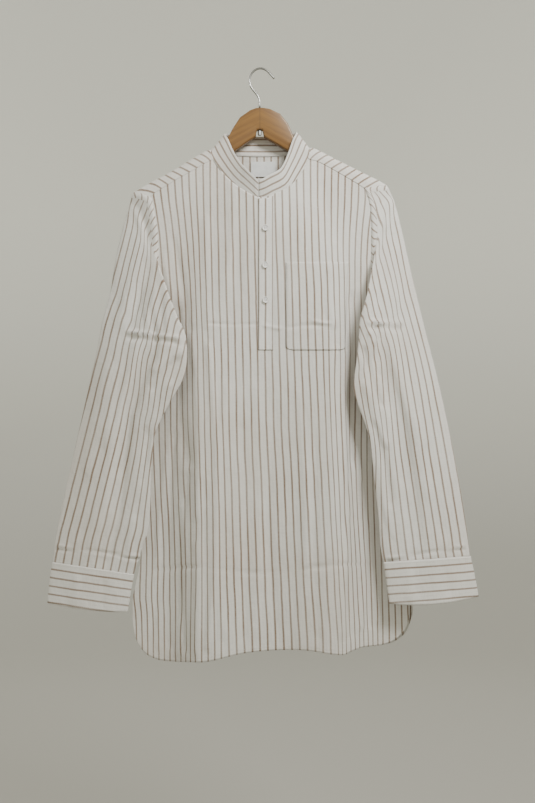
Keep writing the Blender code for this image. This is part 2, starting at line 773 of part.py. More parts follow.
cotton = new_material("Striped cotton", (0.56, 0.55, 0.51), 0.86)
plain_cotton = new_material("Band cotton", (0.60, 0.59, 0.55), 0.84)
wood = new_material("Varnished wood", (0.38, 0.22, 0.09), 0.42)
steel = new_material("Zinc wire", (0.62, 0.62, 0.60), 0.32, 1.0)
shell = new_material("Pearl white", (0.82, 0.80, 0.74), 0.25)
tape = new_material("Label tape", (0.78, 0.78, 0.75), 0.7)

front_seen = front_grid()
back_seen = back_grid(front_seen)
front = seen(front_seen)
back = seen(back_seen)
cloth("front", front, CLOTH, cotton)
cloth("back", back, CLOTH, cotton, even=False)

sleeve_left = sleeve(SLEEVE_L, front_seen, back_seen, -1)
sleeve_right = sleeve(SLEEVE_R, front_seen, back_seen, 1)
cloth("sleeve_left", seen(sleeve_left), CLOTH, cotton, tube=True, even=False)
cloth("sleeve_right", seen(sleeve_right), CLOTH, cotton, tube=True, even=False)
cloth("cuff_left", seen(cuff(CUFF_L, sleeve_left[-1])), BAND_CLOTH, plain_cotton, tube=True)
cloth("cuff_right", seen(cuff(CUFF_R, sleeve_right[-1])), BAND_CLOTH, plain_cotton, tube=True)

# Collar: its seam edge follows the neck points of the front and of the back.
side_count = len(SIDE_SHARES)
column_of = {place: side_count + i for i, place in enumerate(FRONT_PLACES)}
start = column_of[PLACKET_PLACES[0]]
left_neck = [front[0, c] for c in range(start, column_of[NECK_LEFT] - 1, -1)]
turned = np.flatnonzero(BACK_RIDGE["turn"] < 1)
back_neck = [back[0, c] for c in range(turned[0], turned[-1] + 1)]
right_neck = [front[0, c] for c in range(column_of[NECK_RIGHT], start - 1, -1)]
neck = np.array(left_neck + back_neck + right_neck)
rim = seen(np.stack([COLLAR_TOP["at_x"], COLLAR_TOP["at_z"], COLLAR_TOP["depth"]], axis=-1))
up = rim - neck
up /= np.linalg.norm(up, axis=1, keepdims=True)
neck = neck + up * COLLAR_SEAM * MM
neck[-1, 0] += COLLAR_LAP * MM
middle = (neck[:-1] + neck[1:]) / 2.0
rim_middle = (rim[:-1] + rim[1:]) / 2.0
edge_points = np.empty((2 * len(neck) - 1, 3))
edge_points[0::2] = neck
edge_points[1::2] = middle
rim_points = np.empty_like(edge_points)
rim_points[0::2] = rim
rim_points[1::2] = rim_middle
rows = [edge_points + (rim_points - edge_points) * t for t in COLLAR_SHARES]
cloth("collar", np.array(rows[::-1]), BAND_CLOTH, plain_cotton)

# Placket and pocket: points of the front, moved out.
out = normals(front)
lay = (CLOTH + PATCH_CLOTH) / 2.0 + LAY_GAP
foot_row = TOP_ROWS + POCKET_FOOT
band = [column_of[place] for place in PLACKET_PLACES]
placket = (front + out * lay * MM)[: foot_row + 1, band]
placket[0] += (placket[1] - placket[0]) * PLACKET_TOP_CUT
cloth("placket", placket, PATCH_CLOTH, cotton)
patch = [column_of[place] for place in POCKET_PLACES]
pocket = (front + out * lay * MM)[TOP_ROWS + POCKET_TOP: foot_row + 1, patch]
for here, beside in ((0, 1), (-1, -2)):
    inward = pocket[-1, beside] - pocket[-1, here]
    upward = pocket[-2, here] - pocket[-1, here]
    pocket[-1, here] += inward * POCKET_CORNER_IN + upward * POCKET_CORNER_UP
cloth("pocket", pocket, PATCH_CLOTH, cotton)

# Label inside the back of the neck.
label_rows = []
for z in np.linspace(LABEL["top_z"][0], LABEL["low_z"][0], 3):
    row = []
    for name in ("left_x", "mid_x", "right_x"):
        spot = seen(np.array([LABEL[name][0], z, back_place(0.5, z)[1]]))
        point, facing = on_grid(back[WRAP_STEPS - 2:], spot[0], spot[2])
        facing = facing if facing[1] < 0 else -facing
        row.append(point + facing * ((CLOTH + LABEL_CLOTH) / 2.0 + LAY_GAP) * MM)
    label_rows.append(row)
cloth("neck_label", np.array(label_rows), LABEL_CLOTH, tape)


def turned_part(name, profile, material, segments):
    """A round part from a profile of (radius, height) in millimetres, about its own Z."""
    shape = bmesh.new()
    verts = [shape.verts.new((radius * MM, 0.0, height * MM)) for radius, height in profile]
    edges = [shape.edges.new(pair) for pair in zip(verts[:-1], verts[1:])]
    bmesh.ops.spin(shape, geom=verts + edges, cent=(0, 0, 0), axis=(0, 0, 1),
                   angle=math.tau, steps=segments, use_merge=True)
    bmesh.ops.remove_doubles(shape, verts=shape.verts[:], dist=1e-6)
    bmesh.ops.recalc_face_normals(shape, faces=shape.faces[:])
    return add_mesh(name, shape, material)


half = BUTTON_WIDTH / 2.0
BUTTON_PROFILE = (
    (0.0, 0.0),
    (half - BUTTON_RIM, 0.0),
    (half, BUTTON_RIM),
    (half, BUTTON_THICK - BUTTON_RIM),
    (half - BUTTON_RIM, BUTTON_THICK),
    (half - 2 * BUTTON_RIM, BUTTON_THICK),
    (half - 3 * BUTTON_RIM, BUTTON_THICK - BUTTON_RIM),
    (0.0, BUTTON_THICK - BUTTON_RIM))
surface = (front + out * (lay + PATCH_CLOTH / 2.0 + LAY_GAP) * MM)
for i, (x, z) in enumerate(zip(BUTTON_SPOTS["at_x"], BUTTON_SPOTS["at_z"])):
    depth = float(np.interp(x, *front_section(z)[:2]))
    spot = seen(np.array([x, z, depth]))
    point, facing = on_grid(surface, spot[0], spot[2])
    button = turned_part("button_%d" % (i + 1), BUTTON_PROFILE, shell, 20)
    level = math.atan2(-facing[2], -facing[1])
    button.location = point
    button.rotation_euler = (math.pi / 2 + level, 0.0, 0.0)

# Hanger: a bar whose outline is the table's, rounded along its edges.
shape = bmesh.new()
x = np.array(HANGER["at_x"])
line = [(x[i], HANGER["top_z"][i]) for i in range(len(x))]
line += [(x[i], HANGER["low_z"][i]) for i in range(len(x) - 1, -1, -1)]
outline = [shape.verts.new(seen(np.array([px, pz, 0.0]))) for px, pz in line]
face = shape.faces.new(outline)
grown = bmesh.ops.extrude_face_region(shape, geom=[face])
for item in grown["geom"]:
    if isinstance(item, bmesh.types.BMVert):
        item.co.y = WOOD_THICK * MM / 2.0
for vert in outline:
    vert.co.y = -WOOD_THICK * MM / 2.0
for vert in shape.verts:
    far = min(1.0, abs(vert.co.x) / (abs(HANGER["at_x"][0]) * MM))
    vert.co.y *= 1.0 + (WOOD_END_THICK / WOOD_THICK - 1.0) * far
bmesh.ops.recalc_face_normals(shape, faces=shape.faces[:])
hanger = add_mesh("hanger_wood", shape, wood)
edge = hanger.modifiers.new("Rounded", "BEVEL")
edge.width = WOOD_BEVEL * MM
edge.segments = 3
edge.limit_method = "ANGLE"
edge.angle_limit = math.radians(60)

# Hook: a wire along its line.
line = seen(np.stack([HOOK["at_x"], HOOK["at_z"], np.zeros(len(HOOK["at_x"]))], axis=-1))
curve = bpy.data.curves.new("hook", "CURVE")
curve.dimensions = "3D"
wire = curve.splines.new("NURBS")
wire.points.add(len(line) - 1)
for point, place in zip(wire.points, line):
    point.co = (*place, 1.0)
wire.use_endpoint_u = True
wire.order_u = 4
wire.resolution_u = 4
curve.bevel_depth = HOOK_WIRE / 2.0 * MM
curve.bevel_resolution = 1
curve.use_fill_caps = True
hook = bpy.data.objects.new("hook", curve)
bpy.context.scene.collection.objects.link(hook)
curve.materials.append(steel)

nut = turned_part("hook_nut", (
    (0.0, 0.0),
    (NUT_WIDTH / 2.0, 0.0),
    (NUT_WIDTH / 2.0, NUT_HEIGHT),
    (0.0, NUT_HEIGHT)), steel, 12)
nut.location = seen(np.array([HOOK["at_x"][0], NUT_TOP_Z - NUT_HEIGHT, 0.0]))
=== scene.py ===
"""Looks of the striped kurta tunic on its wooden hanger: cloth with its stripes, creases and
stitching, pearl buttons, varnished wood and zinc wire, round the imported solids.

Lengths in the tables are millimetres. The tables give each point where it is seen on the plane
y = SEEN_PLANE by someone in front of the garment, as in the part's source, and seen() moves it
along the sight line to its own depth y.
"""
import math

import bmesh
import bpy
import numpy as np
from mathutils import Matrix, Vector


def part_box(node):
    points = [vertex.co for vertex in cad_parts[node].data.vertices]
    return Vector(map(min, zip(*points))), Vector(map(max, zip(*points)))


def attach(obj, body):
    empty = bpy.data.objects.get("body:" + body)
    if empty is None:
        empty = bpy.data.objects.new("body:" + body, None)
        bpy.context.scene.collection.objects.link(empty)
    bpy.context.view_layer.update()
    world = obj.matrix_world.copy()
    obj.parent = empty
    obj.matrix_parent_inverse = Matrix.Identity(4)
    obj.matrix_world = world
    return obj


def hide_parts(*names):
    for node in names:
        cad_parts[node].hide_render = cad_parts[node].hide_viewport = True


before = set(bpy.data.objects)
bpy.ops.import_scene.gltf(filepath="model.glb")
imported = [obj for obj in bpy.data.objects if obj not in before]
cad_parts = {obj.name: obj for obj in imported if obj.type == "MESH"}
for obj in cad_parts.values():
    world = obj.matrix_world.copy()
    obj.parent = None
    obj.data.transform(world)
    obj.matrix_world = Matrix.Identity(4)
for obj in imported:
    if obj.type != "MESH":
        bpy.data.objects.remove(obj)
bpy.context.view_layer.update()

MM = 0.001
# Points closer than this, in metres, become one: on cloth, on the small parts and on the bowl.
JOIN_CLOTH = 1e-7
JOIN = 1e-6
JOIN_WIDE = 1e-5
# Where the garment is seen from, the plane that the tables lie on, and the view's height there.
SEEN_PLANE = -40.0
EYE_X = 12.9
EYE_Y = -1600.0
EYE_Z = -535.7
FRAME_HEIGHT = 1.2647

# Thickness of the cloth, the doubled bands and the patches that shows, and how far seams lap and
# stand off.
CLOTH = 0.55
BAND_CLOTH = 1.3
PATCH_CLOTH = 0.5
SEAM_LAP = 1.6
SEAM_RISE = 0.75
BAND_RISE = 0.45
PATCH_RISE = 1.15
# Creases: how they fade out near an edge, how much deeper than charted, how they bend and vary.
CREASE_FADE = 14.0
CREASE_SCALE = 2.4
CREASE_TURN = 2.3
CREASE_BEND = 0.04
CREASE_END = 2.5
CREASE_PAST = 0.3
CREASE_WAVES = 7.0
CREASE_MEAN = 0.8
CREASE_SWING = 0.3

# Stripes: their pitch on the body, the sleeves and the bands, and where the first one lies. The
# strip along the armhole has its own.
BODY_PITCH = 11.5
SLEEVE_PITCH = 12.6
CUFF_PITCH = 13.2
COLLAR_PITCH = 10.6
BAND_PITCH = 13.0
STRIPE_WIDE = 2.4
BACK_PHASE = -7.2
BAND_SLANT = 0.9
CUFF_L_PHASE = 1.7
CUFF_R_PHASE = 1.3
COLLAR_PHASE = -5.0

# Rows and columns cut into each step of the coarse grids.
BODY_DOWN = 7
BODY_ACROSS = 5
BACK_DOWN = 7
BACK_ACROSS = 6
SLEEVE_DOWN = 9
SLEEVE_ACROSS = 4
CUFF_DOWN = 6
COLLAR_DOWN = 5
COLLAR_ACROSS = 3

# Topstitching: a stitch's length, gap, thickness and rise over the cloth, and the share of the
# placket's length at which its box is closed. The strip along the armhole and its rows.
STITCH_LONG = 2.3
STITCH_GAP = 0.9
STITCH_THICK = 0.42
THREAD_UP = 0.12
BAND_THREAD_UP = 0.10
BOX_SHARE = 0.9
ARMHOLE_BAND = 11.0
BAND_ROWS = 4

# Rows of the body's grids: below the top line, above the hem, and round the shoulder.
TOP_ROWS = 5
HEM_ROWS = 3
WRAP_DROP = 14.0
WRAP_STEPS = 6
SECTION_STEPS = 160
LIMIT_ROUNDS = 30
# Sleeve rings: columns of the six key points at the armhole and from CAP_ROWS down, the shares of
# the width at which the front's two key points and the valley lie, and the first rings' reach.
CAP_COLUMNS = np.array([0, 7.2, 10.4, 13, 17, 23])
ARM_COLUMNS = np.array([0, 4.5, 8.5, 13, 17, 23])
CAP_ROWS = 3.0
RING_COLUMNS = 29
INNER_COLUMN = 13
UNDER_COLUMN = 17
SLEEVE_STEPS = 18
UPPER_SHARE = 0.33
LOWER_SHARE = 0.68
LOWER_LIFT = 0.6
LOWER_FORWARD = 4.0
TROUGH_SHARE = 0.62
TROUGH_WIDTH = 13.0
CORNER_REACH = 1.0
UNDERARM_OUT = 0.82
UNDERARM_DOWN = 0.57
SECOND_REACH = 2.4
THIRD_SHARE = 0.45
# How creases fade where a sleeve's cloth turns away from the front or the back.
FACING_GAIN = 2.0
FACING_START = 0.3
# How many rings a cuff has, and a ring's columns from the underarm round to it again.
CUFF_RINGS = 5
RING_ORDER = (np.arange(RING_COLUMNS + 1) + UNDER_COLUMN) % RING_COLUMNS
COLLAR_SHARES = (0.0, 0.33, 0.67, 1.0)


def table(header, *rows):
    """Named columns from a short table."""
    names = header.split()
    return {name: np.array([row[i] for row in rows], float) for i, name in enumerate(names)}


# Side edges of the front and the back at each height: armhole, side seam, slit, rounded corner.
FRONT_EDGE = table("at_z left_x right_x edge_y",
    (-139.6, -181.6, 155.4, -10),
    (-194.7, -176.9, 165.7, -10.5),
    (-215.2, -172.2, 172.8, -11.5),
    (-246.7, -164.3, 176.7, -13),
    (-281.3, -160.3, 177.5, -14),
    (-316, -159.6, 176.7, -14),
    (-352.2, -161.1, 179.1, -12),
    (-383.7, -165.9, 186.9, -8),
    (-415.2, -176.9, 199.5, -3.5),
    (-446.7, -192.6, 212.1, -0.8),
    (-533.3, -191.8, 216.9, -0.8),
    (-659.3, -188.7, 224.7, -0.8),
    (-766.4, -185.5, 232.6, -0.8),
    (-809, -191.1, 235.8, -2),
    (-848.3, -199.7, 236.6, -3),
    (-883, -199.7, 236.6, -4),
    (-946, -199.7, 236.6, -4))
BACK_EDGE = table("at_z left_x right_x edge_y",
    (-139.6, -197.4, 200.3, 6),
    (-196.3, -197.4, 200.3, 7),
    (-207.3, -195.8, 196.4, 8),
    (-218.3, -186.3, 190.1, 8.5),
    (-234.1, -175.3, 183.8, 9),
    (-257.7, -165.9, 179.1, 9),
    (-281.3, -161.1, 177.5, 8.5),
    (-316, -159.6, 176.7, 7),
    (-352.2, -161.1, 179.1, 5),
    (-383.7, -165.9, 186.9, 3),
    (-415.2, -176.9, 199.5, 2.6),
    (-446.7, -192.6, 212.1, 0.8),
    (-533.3, -191.8, 216.9, 0.8),
    (-659.3, -188.7, 224.7, 0.8),
    (-766.4, -185.5, 232.6, 0.8),
    (-809, -189.5, 238.9, 2),
    (-848.3, -195.8, 242.1, 3),
    (-946, -195.8, 242.1, 4))
# The front's folds at each height: two standing ridges, the hollow between, the foot of each.
FRONT_FOLD = table("at_z foot_l_x foot_l_y top_l_x top_l_y mid_x mid_y top_r_x top_r_y foot_r_x foot_r_y",
    (-139.6, -121.8, -9.5, -80.8, -9.5, 4.2, -15, 92.4, -9.5, 136.5, -9.5),
    (-218.3, -124.9, -13, -79.2, -17, 4.2, -29, 95.6, -17, 139.7, -13),
    (-316, -128.1, -16, -80.8, -26, 5.8, -32, 105, -31, 142.8, -17),
    (-446.7, -137.5, -13, -82.4, -34, 9, -34, 112.9, -41, 146, -15),
    (-612.1, -142.2, -11, -84, -44, 10.5, -37, 117.6, -49, 153.9, -12),
    (-769.6, -145.4, -10, -84, -49, 12.1, -39, 119.2, -54, 168, -10),
    (-946, -147, -10, -85.5, -54, 13.7, -41, 127.1, -58, 180.6, -10))
# The back's shallower folds: three ridges.
BACK_FOLD = table("at_z top_l_y dip_l_y top_m_y dip_r_y top_r_y",
    (-139.6, 9.5, 10, 11, 10, 9.5),
    (-218.3, 10, 11, 12, 11, 10),
    (-375.8, 12, 12, 13, 12, 12),
    (-612.1, 17, 12, 17, 12, 18),
    (-946, 22, 11, 20, 11, 24))
# Top line of the front: left armhole, forward shoulder seam, neck, seam, right armhole.
FRONT_TOP = table("at_x line_z",
    (-181.6, -223.1),
    (-172.2, -213.6),
    (-164.3, -205),
    (-154.8, -199.4),
    (-145.4, -193.1),
    (-123.3, -180.5),
    (-101.3, -167.9),
    (-80.8, -156.1),
    (-72.9, -151.4),
    (-65.1, -166.4),
    (-52.5, -180.5),
    (-38.3, -193.1),
    (-22.5, -203.4),
    (-8.4, -211.3),
    (1.1, -213.6),
    (10.5, -212.8),
    (20, -209.7),
    (37.3, -201.8),
    (48.3, -195.5),
    (57.8, -186.8),
    (68.8, -171.1),
    (76.7, -150.6),
    (95.6, -157.7),
    (117.6, -169.5),
    (139.7, -182.1),
    (160.2, -194.7),
    (175.9, -205.7))
# Hem of the front along its width, and how much lower or higher the back hangs.
FRONT_HEM = table("at_x line_z",
    (-199.6, -876.7),
    (-196.6, -900.3),
    (-189.5, -919.2),
    (-178.5, -932.6),
    (-165.9, -940.5),
    (-147, -944.4),
    (-117, -946),
    (-88.7, -946.8),
    (-71.4, -943.6),
    (-52.5, -938.9),
    (-30.4, -933.4),
    (-5.2, -929.8),
    (16.8, -927.9),
    (40.5, -926.8),
    (64.1, -927.1),
    (87.7, -929.5),
    (108.2, -933.1),
    (125.5, -935.9),
    (135, -934.2),
    (147.6, -927.9),
    (161.7, -922.4),
    (182.2, -920.5),
    (202.7, -916.1),
    (215.3, -909),
    (224.7, -900.3),
    (231, -890.9),
    (234.2, -883),
    (236.6, -875.9))
BACK_HEM = table("at_x line_z",
    (-195.5, -879.8),
    (-191.1, -901.9),
    (-181.6, -919.2),
    (-162.7, -927.1),
    (-124.9, -930.2),
    (9, -930.2),
    (142.8, -928.7),
    (198, -923.9),
    (221.6, -912.9),
    (235.8, -897.2),
    (241.7, -873.5))
# Highest line of the back: shoulder, neck seam at the back, shoulder. turn is how far round the
# cloth goes over the shoulder: 1 comes down to the forward seam, 0.5 ends on the ridge.
BACK_RIDGE = table("at_x line_z turn front_x",
    (-197.4, -206.5, 1, -172.2),
    (-187.9, -201, 1, -165.9),
    (-165.9, -188.4, 1, -150.9),
    (-139.1, -174.2, 1, -129.6),
    (-112.3, -157.7, 1, -106),
    (-93.4, -146.7, 1, -87.1),
    (-83.2, -141.2, 1, -72.9),
    (-79.2, -139.4, 0.8, -74),
    (-75.3, -139, 0.5, -75.3),
    (-63.5, -142.7, 0.2, -63.5),
    (-47.7, -145.9, 0.1, -47.7),
    (-25.7, -148.3, 0.1, -25.7),
    (1.1, -149, 0.1, 1.1),
    (29.4, -148.3, 0.1, 29.4),
    (49.9, -145.9, 0.1, 49.9),
    (67.2, -142, 0.2, 67.2),
    (78.3, -136.1, 0.5, 78.3),
    (81.4, -136, 0.8, 77.3),
    (86.1, -137.4, 1, 76.7),
    (98.7, -143.2, 1, 92.4),
    (117.6, -153, 1, 112.1),
    (142.8, -165.6, 1, 135),
    (168, -178.2, 1, 153.1),
    (190.1, -189.2, 1, 162.5),
    (200.3, -195.5, 1, 167.1))
# Upper edge of the band collar, a row for each point of the neck seam, from the middle of the
# front round by the left, the back and the right.
COLLAR_TOP = table("at_x at_z depth",
    (-1.6, -187.2, -33.5),
    (-18.6, -171.1, -31),
    (-30.4, -158.5, -25),
    (-39.9, -142.7, -18),
    (-48.8, -123.1, -10.5),
    (-52, -117.5, -5),
    (-54, -114.1, 3),
    (-51.2, -114.4, 9),
    (-41.4, -116.8, 14),
    (-23.3, -118.8, 16.5),
    (1.1, -119.1, 17),
    (26.3, -118.8, 16.5),
    (44.4, -116.8, 14),
    (55.1, -112.8, 9),
    (59, -110.9, 3),
    (57.5, -113.6, -4),
    (53.1, -121.5, -10.5),
    (43.6, -149, -18),
    (33.4, -168.7, -27),
    (16.1, -178.2, -32),
    (6.6, -183.7, -33),
    (-0.6, -186.8, -33.6))
# Armhole rings and sleeve sections, from the shoulder to the cuff. outer is the fold on the
# outside, inner the fold that lies over the body, under the underarm line behind it. lift moves
# the front of the section sideways over the armhole seam, trough is the valley down the sleeve.
SLEEVE_L = table("out_x out_z in_x in_z under_x under_z out_y front_y in_y under_y back_y lift trough",
    (-204.4, -226.2, -113.9, -454.6, -202.9, -456.2, 0, -18, -38, -7, 9, 9, 0),
    (-215.5, -267.2, -114.7, -475.1, -208.4, -467.2, -1, -22, -42, -12, 7, 3, 3),
    (-225.7, -312.8, -118.1, -495.5, -214.7, -482.9, -3, -25, -43, -18, 3, 0, 6),
    (-232.8, -360.1, -128.8, -516, -221, -501.8, -5, -29, -43, -21, -1, 0, 9),
    (-246.2, -407.3, -140.7, -536.5, -225.7, -523.9, -7, -32, -42, -23, -4, 0, 11),
    (-255.2, -454.6, -154, -561.7, -230.4, -547.5, -9, -34, -40, -21, -5, 0, 12),
    (-265.9, -501.8, -166.6, -590, -235.2, -572.7, -10, -35, -38, -20, -6, 0, 12),
    (-287.1, -596.3, -170.9, -649.9, -241.5, -627.8, -13, -35, -36, -18, -7, 0, 10),
    (-308.4, -690.8, -172.9, -722.3, -246.2, -701.9, -15, -35, -33, -17, -8, 0, 8),
    (-321, -755.4, -186.3, -769.6, -249.3, -763.3, -16, -33, -30, -16, -9, 0, 6),
    (-324.9, -790.1, -198.1, -809, -249.3, -801.1, -17, -31, -27, -15, -10, 0, 2))
SLEEVE_R = table("out_x out_z in_x in_z under_x under_z out_y front_y in_y under_y back_y lift trough",
    (211.3, -218.3, 158.6, -431, 221.6, -456.2, 0, -18, -36, -7, 9, 8, 0),
    (220.8, -254.6, 156.5, -460.9, 228.7, -465.6, -1, -21, -40, -12, 7, 3, 3),
    (231.8, -303.4, 153.2, -490.8, 234.2, -481.4, -3, -25, -42, -18, 3, 0, 6),
    (242.8, -352.2, 150.1, -519.2, 238.9, -500.3, -5, -29, -42, -21, -1, 0, 9),
    (254.7, -401, 156.7, -542.8, 242.8, -523.9, -7, -32, -42, -23, -4, 0, 11),
    (267.3, -449.9, 166.5, -569.6, 246.8, -547.5, -9, -34, -41, -22, -5, 0, 12),
    (279.9, -498.7, 174.3, -596.3, 250.7, -572.7, -10, -35, -40, -21, -6, 0, 12),
    (301.9, -596.3, 181.4, -659.3, 256.2, -629.4, -13, -36, -38, -20, -8, 0, 10),
    (319.2, -690.8, 188.5, -723.9, 261, -703.4, -16, -37, -36, -19, -10, 0, 8),
    (328.7, -753.8, 190.9, -763.3, 264.1, -757, -18, -37, -35, -19, -12, 0, 6),
    (331.8, -780.6, 196.4, -790.1, 265.7, -785.3, -19, -36, -34, -19, -13, 0, 2))
CUFF_L = table("out_x out_z in_x in_z sag",
    (-325.4, -790.9, -198.5, -809.8, 0),
    (-329.3, -816.8, -202.7, -832.6, 3),
    (-332.8, -853.1, -208.1, -867.2, 4))
CUFF_R = table("out_x out_z in_x in_z sag",
    (332.3, -781.4, 196.9, -791.6, 2),
    (338.9, -812.1, 201.1, -820, 5),
    (344.4, -842.8, 205.8, -853.9, 7))
# The hook's wire.
HOOK = table("at_x at_z",
    (0.5, -73.4),
    (0.3, -60.8),
    (-2.1, -53.8),
    (-7.9, -47.5),
    (-13.4, -40.8),
    (-15.9, -32.5),
    (-15, -24),
    (-10.6, -16.6),
    (-3.6, -11.3),
    (4.7, -10.7),
    (12.4, -14.2),
    (17.8, -20.5),
    (23.5, -27.1))
# Heights of the front's straight rows and the back's.
FRONT_LEVEL = table("at_z",
    (-316,),
    (-338,),
    (-361.7,),
    (-385.3,),
    (-396.3,),
    (-407.3,),
    (-418.4,),
    (-427.8,),
    (-437.3,),
    (-446.7,),
    (-454.6,),
    (-479.8,),
    (-508.1,),
    (-538.1,),
    (-569.6,),
    (-602.6,),
    (-637.3,),
    (-671.9,),
    (-706.6,),
    (-738.1,),
    (-766.4,),
    (-796.4,),
    (-826.3,),
    (-851.5,),
    (-870.4,))
BACK_LEVEL = table("at_z",
    (-257.7,),
    (-281.3,),
    (-316,),
    (-352.2,),
    (-383.7,),
    (-415.2,),
    (-431,),
    (-446.7,),
    (-489.2,),
    (-533.3,),
    (-580.6,),
    (-631,),
    (-681.4,),
    (-728.6,),
    (-766.4,),
    (-801.1,),
    (-835.7,),
    (-870.4,))
# Places along the front's width, measured on the cloth from the placket line; the outer ones
# share out what is left up to the armhole or side.
FRONT_PLACES = (-125, -104, -84, -65.5, -47, -29, -11.5, 0, 11.5, 32, 50, 68, 86, 104, 123, 145)
SIDE_SHARES = (0.3, 0.55, 0.75, 0.86, 0.93, 0.97, 1.0)
PLACKET_X = 9.8
NECK_LEFT = -84
NECK_RIGHT = 68
PLACKET_PLACES = (-11.5, 0, 11.5)
POCKET_PLACES = (32, 50, 68, 86, 104, 123, 145)
# Shares of the back's width at which its folds are given.
BACK_SHARES = (0.0, 0.16, 0.34, 0.5, 0.66, 0.84, 1.0)
# Rows of the front's levels: the underarm and the pocket's foot.
UNDERARM_ROW = 9
POCKET_FOOT = 10
UNDERARM_Z = FRONT_LEVEL["at_z"][UNDERARM_ROW]
# How far forward the sleeve leaves each point of its armhole.
LEAD = table("at_column forward",
    (0, 0),
    (3, -2),
    (6, -3.5),
    (12, -5),
    (15, -4.5),
    (16, -3.5),
    (17, -0.9),
    (18, 1),
    (19, 1.5),
    (22, 2.5),
    (25, 2),
    (28, 0))


def smooth(knots, values, at):
    """Smooth line through the values at the knots, without overshoot."""
    order = np.argsort(knots)
    knots = np.asarray(knots, float)[order]
    values = np.asarray(values, float)[order]
    step = np.diff(knots)
    slope = np.diff(values) / step
    lean = np.empty(len(values))
    lean[0] = slope[0]
    lean[-1] = slope[-1]
    same_way = slope[:-1] * slope[1:] > 0
    total = np.where(same_way, slope[:-1] + slope[1:], 1.0)
    lean[1:-1] = np.where(same_way, 2.0 * slope[:-1] * slope[1:] / total, 0.0)
    at = np.clip(np.asarray(at, float), knots[0], knots[-1])
    i = np.clip(np.searchsorted(knots, at, side="right") - 1, 0, len(step) - 1)
    t = (at - knots[i]) / step[i]
    rest = 1.0 - t
    start = values[i] * (1.0 + 2.0 * t) * rest ** 2 + lean[i] * step[i] * t * rest ** 2
    end = values[i + 1] * t ** 2 * (3.0 - 2.0 * t) - lean[i + 1] * step[i] * t ** 2 * rest
    return start + end


def look(rows, column, height):
    """One column of a table at a height."""
    return float(smooth(rows["at_z"], rows[column], height))


def seen(points):
    """Points (seen x, seen z, depth y) in millimetres to their real place in metres."""
    points = np.asarray(points, float)
    x = points[..., 0]
    z = points[..., 1]
    y = points[..., 2]
    reach = (y - EYE_Y) / (SEEN_PLANE - EYE_Y)
    real = np.stack([EYE_X + (x - EYE_X) * reach, y, EYE_Z + (z - EYE_Z) * reach], axis=-1)
    return real * MM


def front_section(height):
    """The front's section at one height: x, y, and distance on the cloth from the placket."""
    left = look(FRONT_EDGE, "left_x", height)
    right = look(FRONT_EDGE, "right_x", height)
    side = look(FRONT_EDGE, "edge_y", height)
    knots_x = [left]
    knots_y = [side]
    for name in ("foot_l", "top_l", "mid", "top_r", "foot_r"):
        knots_x.append(look(FRONT_FOLD, name + "_x", height))
        knots_y.append(look(FRONT_FOLD, name + "_y", height))
    knots_x.append(right)
    knots_y.append(side)
    x = np.linspace(left, right, SECTION_STEPS)
    y = smooth(knots_x, knots_y, x)
    along = np.concatenate([[0.0], np.cumsum(np.hypot(np.diff(x), np.diff(y)))])
    return x, y, along - np.interp(PLACKET_X, x, along)


def front_places(height):
    """Every column of the front at one height, left to right: seen x and depth y."""
    x, y, along = front_section(height)
    first = FRONT_PLACES[0]
    last = FRONT_PLACES[-1]
    left = [first + (along[0] - first) * share for share in reversed(SIDE_SHARES)]
    right = [last + (along[-1] - last) * share for share in SIDE_SHARES]
    places = np.array(left + list(FRONT_PLACES) + right)
    at_x = np.interp(places, along, x)
    return at_x, np.interp(at_x, x, y)


def front_limit(column, line, start):
    """Height at which one column of the front meets its top line or hem."""
    height = start
    for _ in range(LIMIT_ROUNDS):
        at_x = front_places(height)[0][column]
        height = float(smooth(line["at_x"], line["line_z"], at_x))
    return height


def front_grid():
    """Rows of points from the top line of the front to its hem."""
    columns = len(FRONT_PLACES) + 2 * len(SIDE_SHARES)
    levels = list(FRONT_LEVEL["at_z"])
    tops = [front_limit(c, FRONT_TOP, levels[0]) for c in range(columns)]
    hems = [front_limit(c, FRONT_HEM, levels[-1]) for c in range(columns)]
    rows = []
    for r in range(TOP_ROWS):
        rows.append([tops[c] + (levels[0] - tops[c]) * r / TOP_ROWS for c in range(columns)])
    for level in levels:
        rows.append([level] * columns)
    for r in range(1, HEM_ROWS + 1):
        rows.append([levels[-1] + (hems[c] - levels[-1]) * r / HEM_ROWS for c in range(columns)])
    grid = np.zeros((len(rows), columns, 3))
    for r, heights in enumerate(rows):
        for c, height in enumerate(heights):
            at_x, depth = front_places(height)
            grid[r, c] = (at_x[c], height, depth[c])
    return grid


def back_place(share, height):
    """A point of the back: share of its width from the left, and height."""
    left = look(BACK_EDGE, "left_x", height)
    right = look(BACK_EDGE, "right_x", height)
    side = look(BACK_EDGE, "edge_y", height)
    depths = [side] + [look(BACK_FOLD, name, height) for name in
                       ("top_l_y", "dip_l_y", "top_m_y", "dip_r_y", "top_r_y")] + [side]
    depth = float(smooth(BACK_SHARES, depths, share))
    return left + share * (right - left), depth


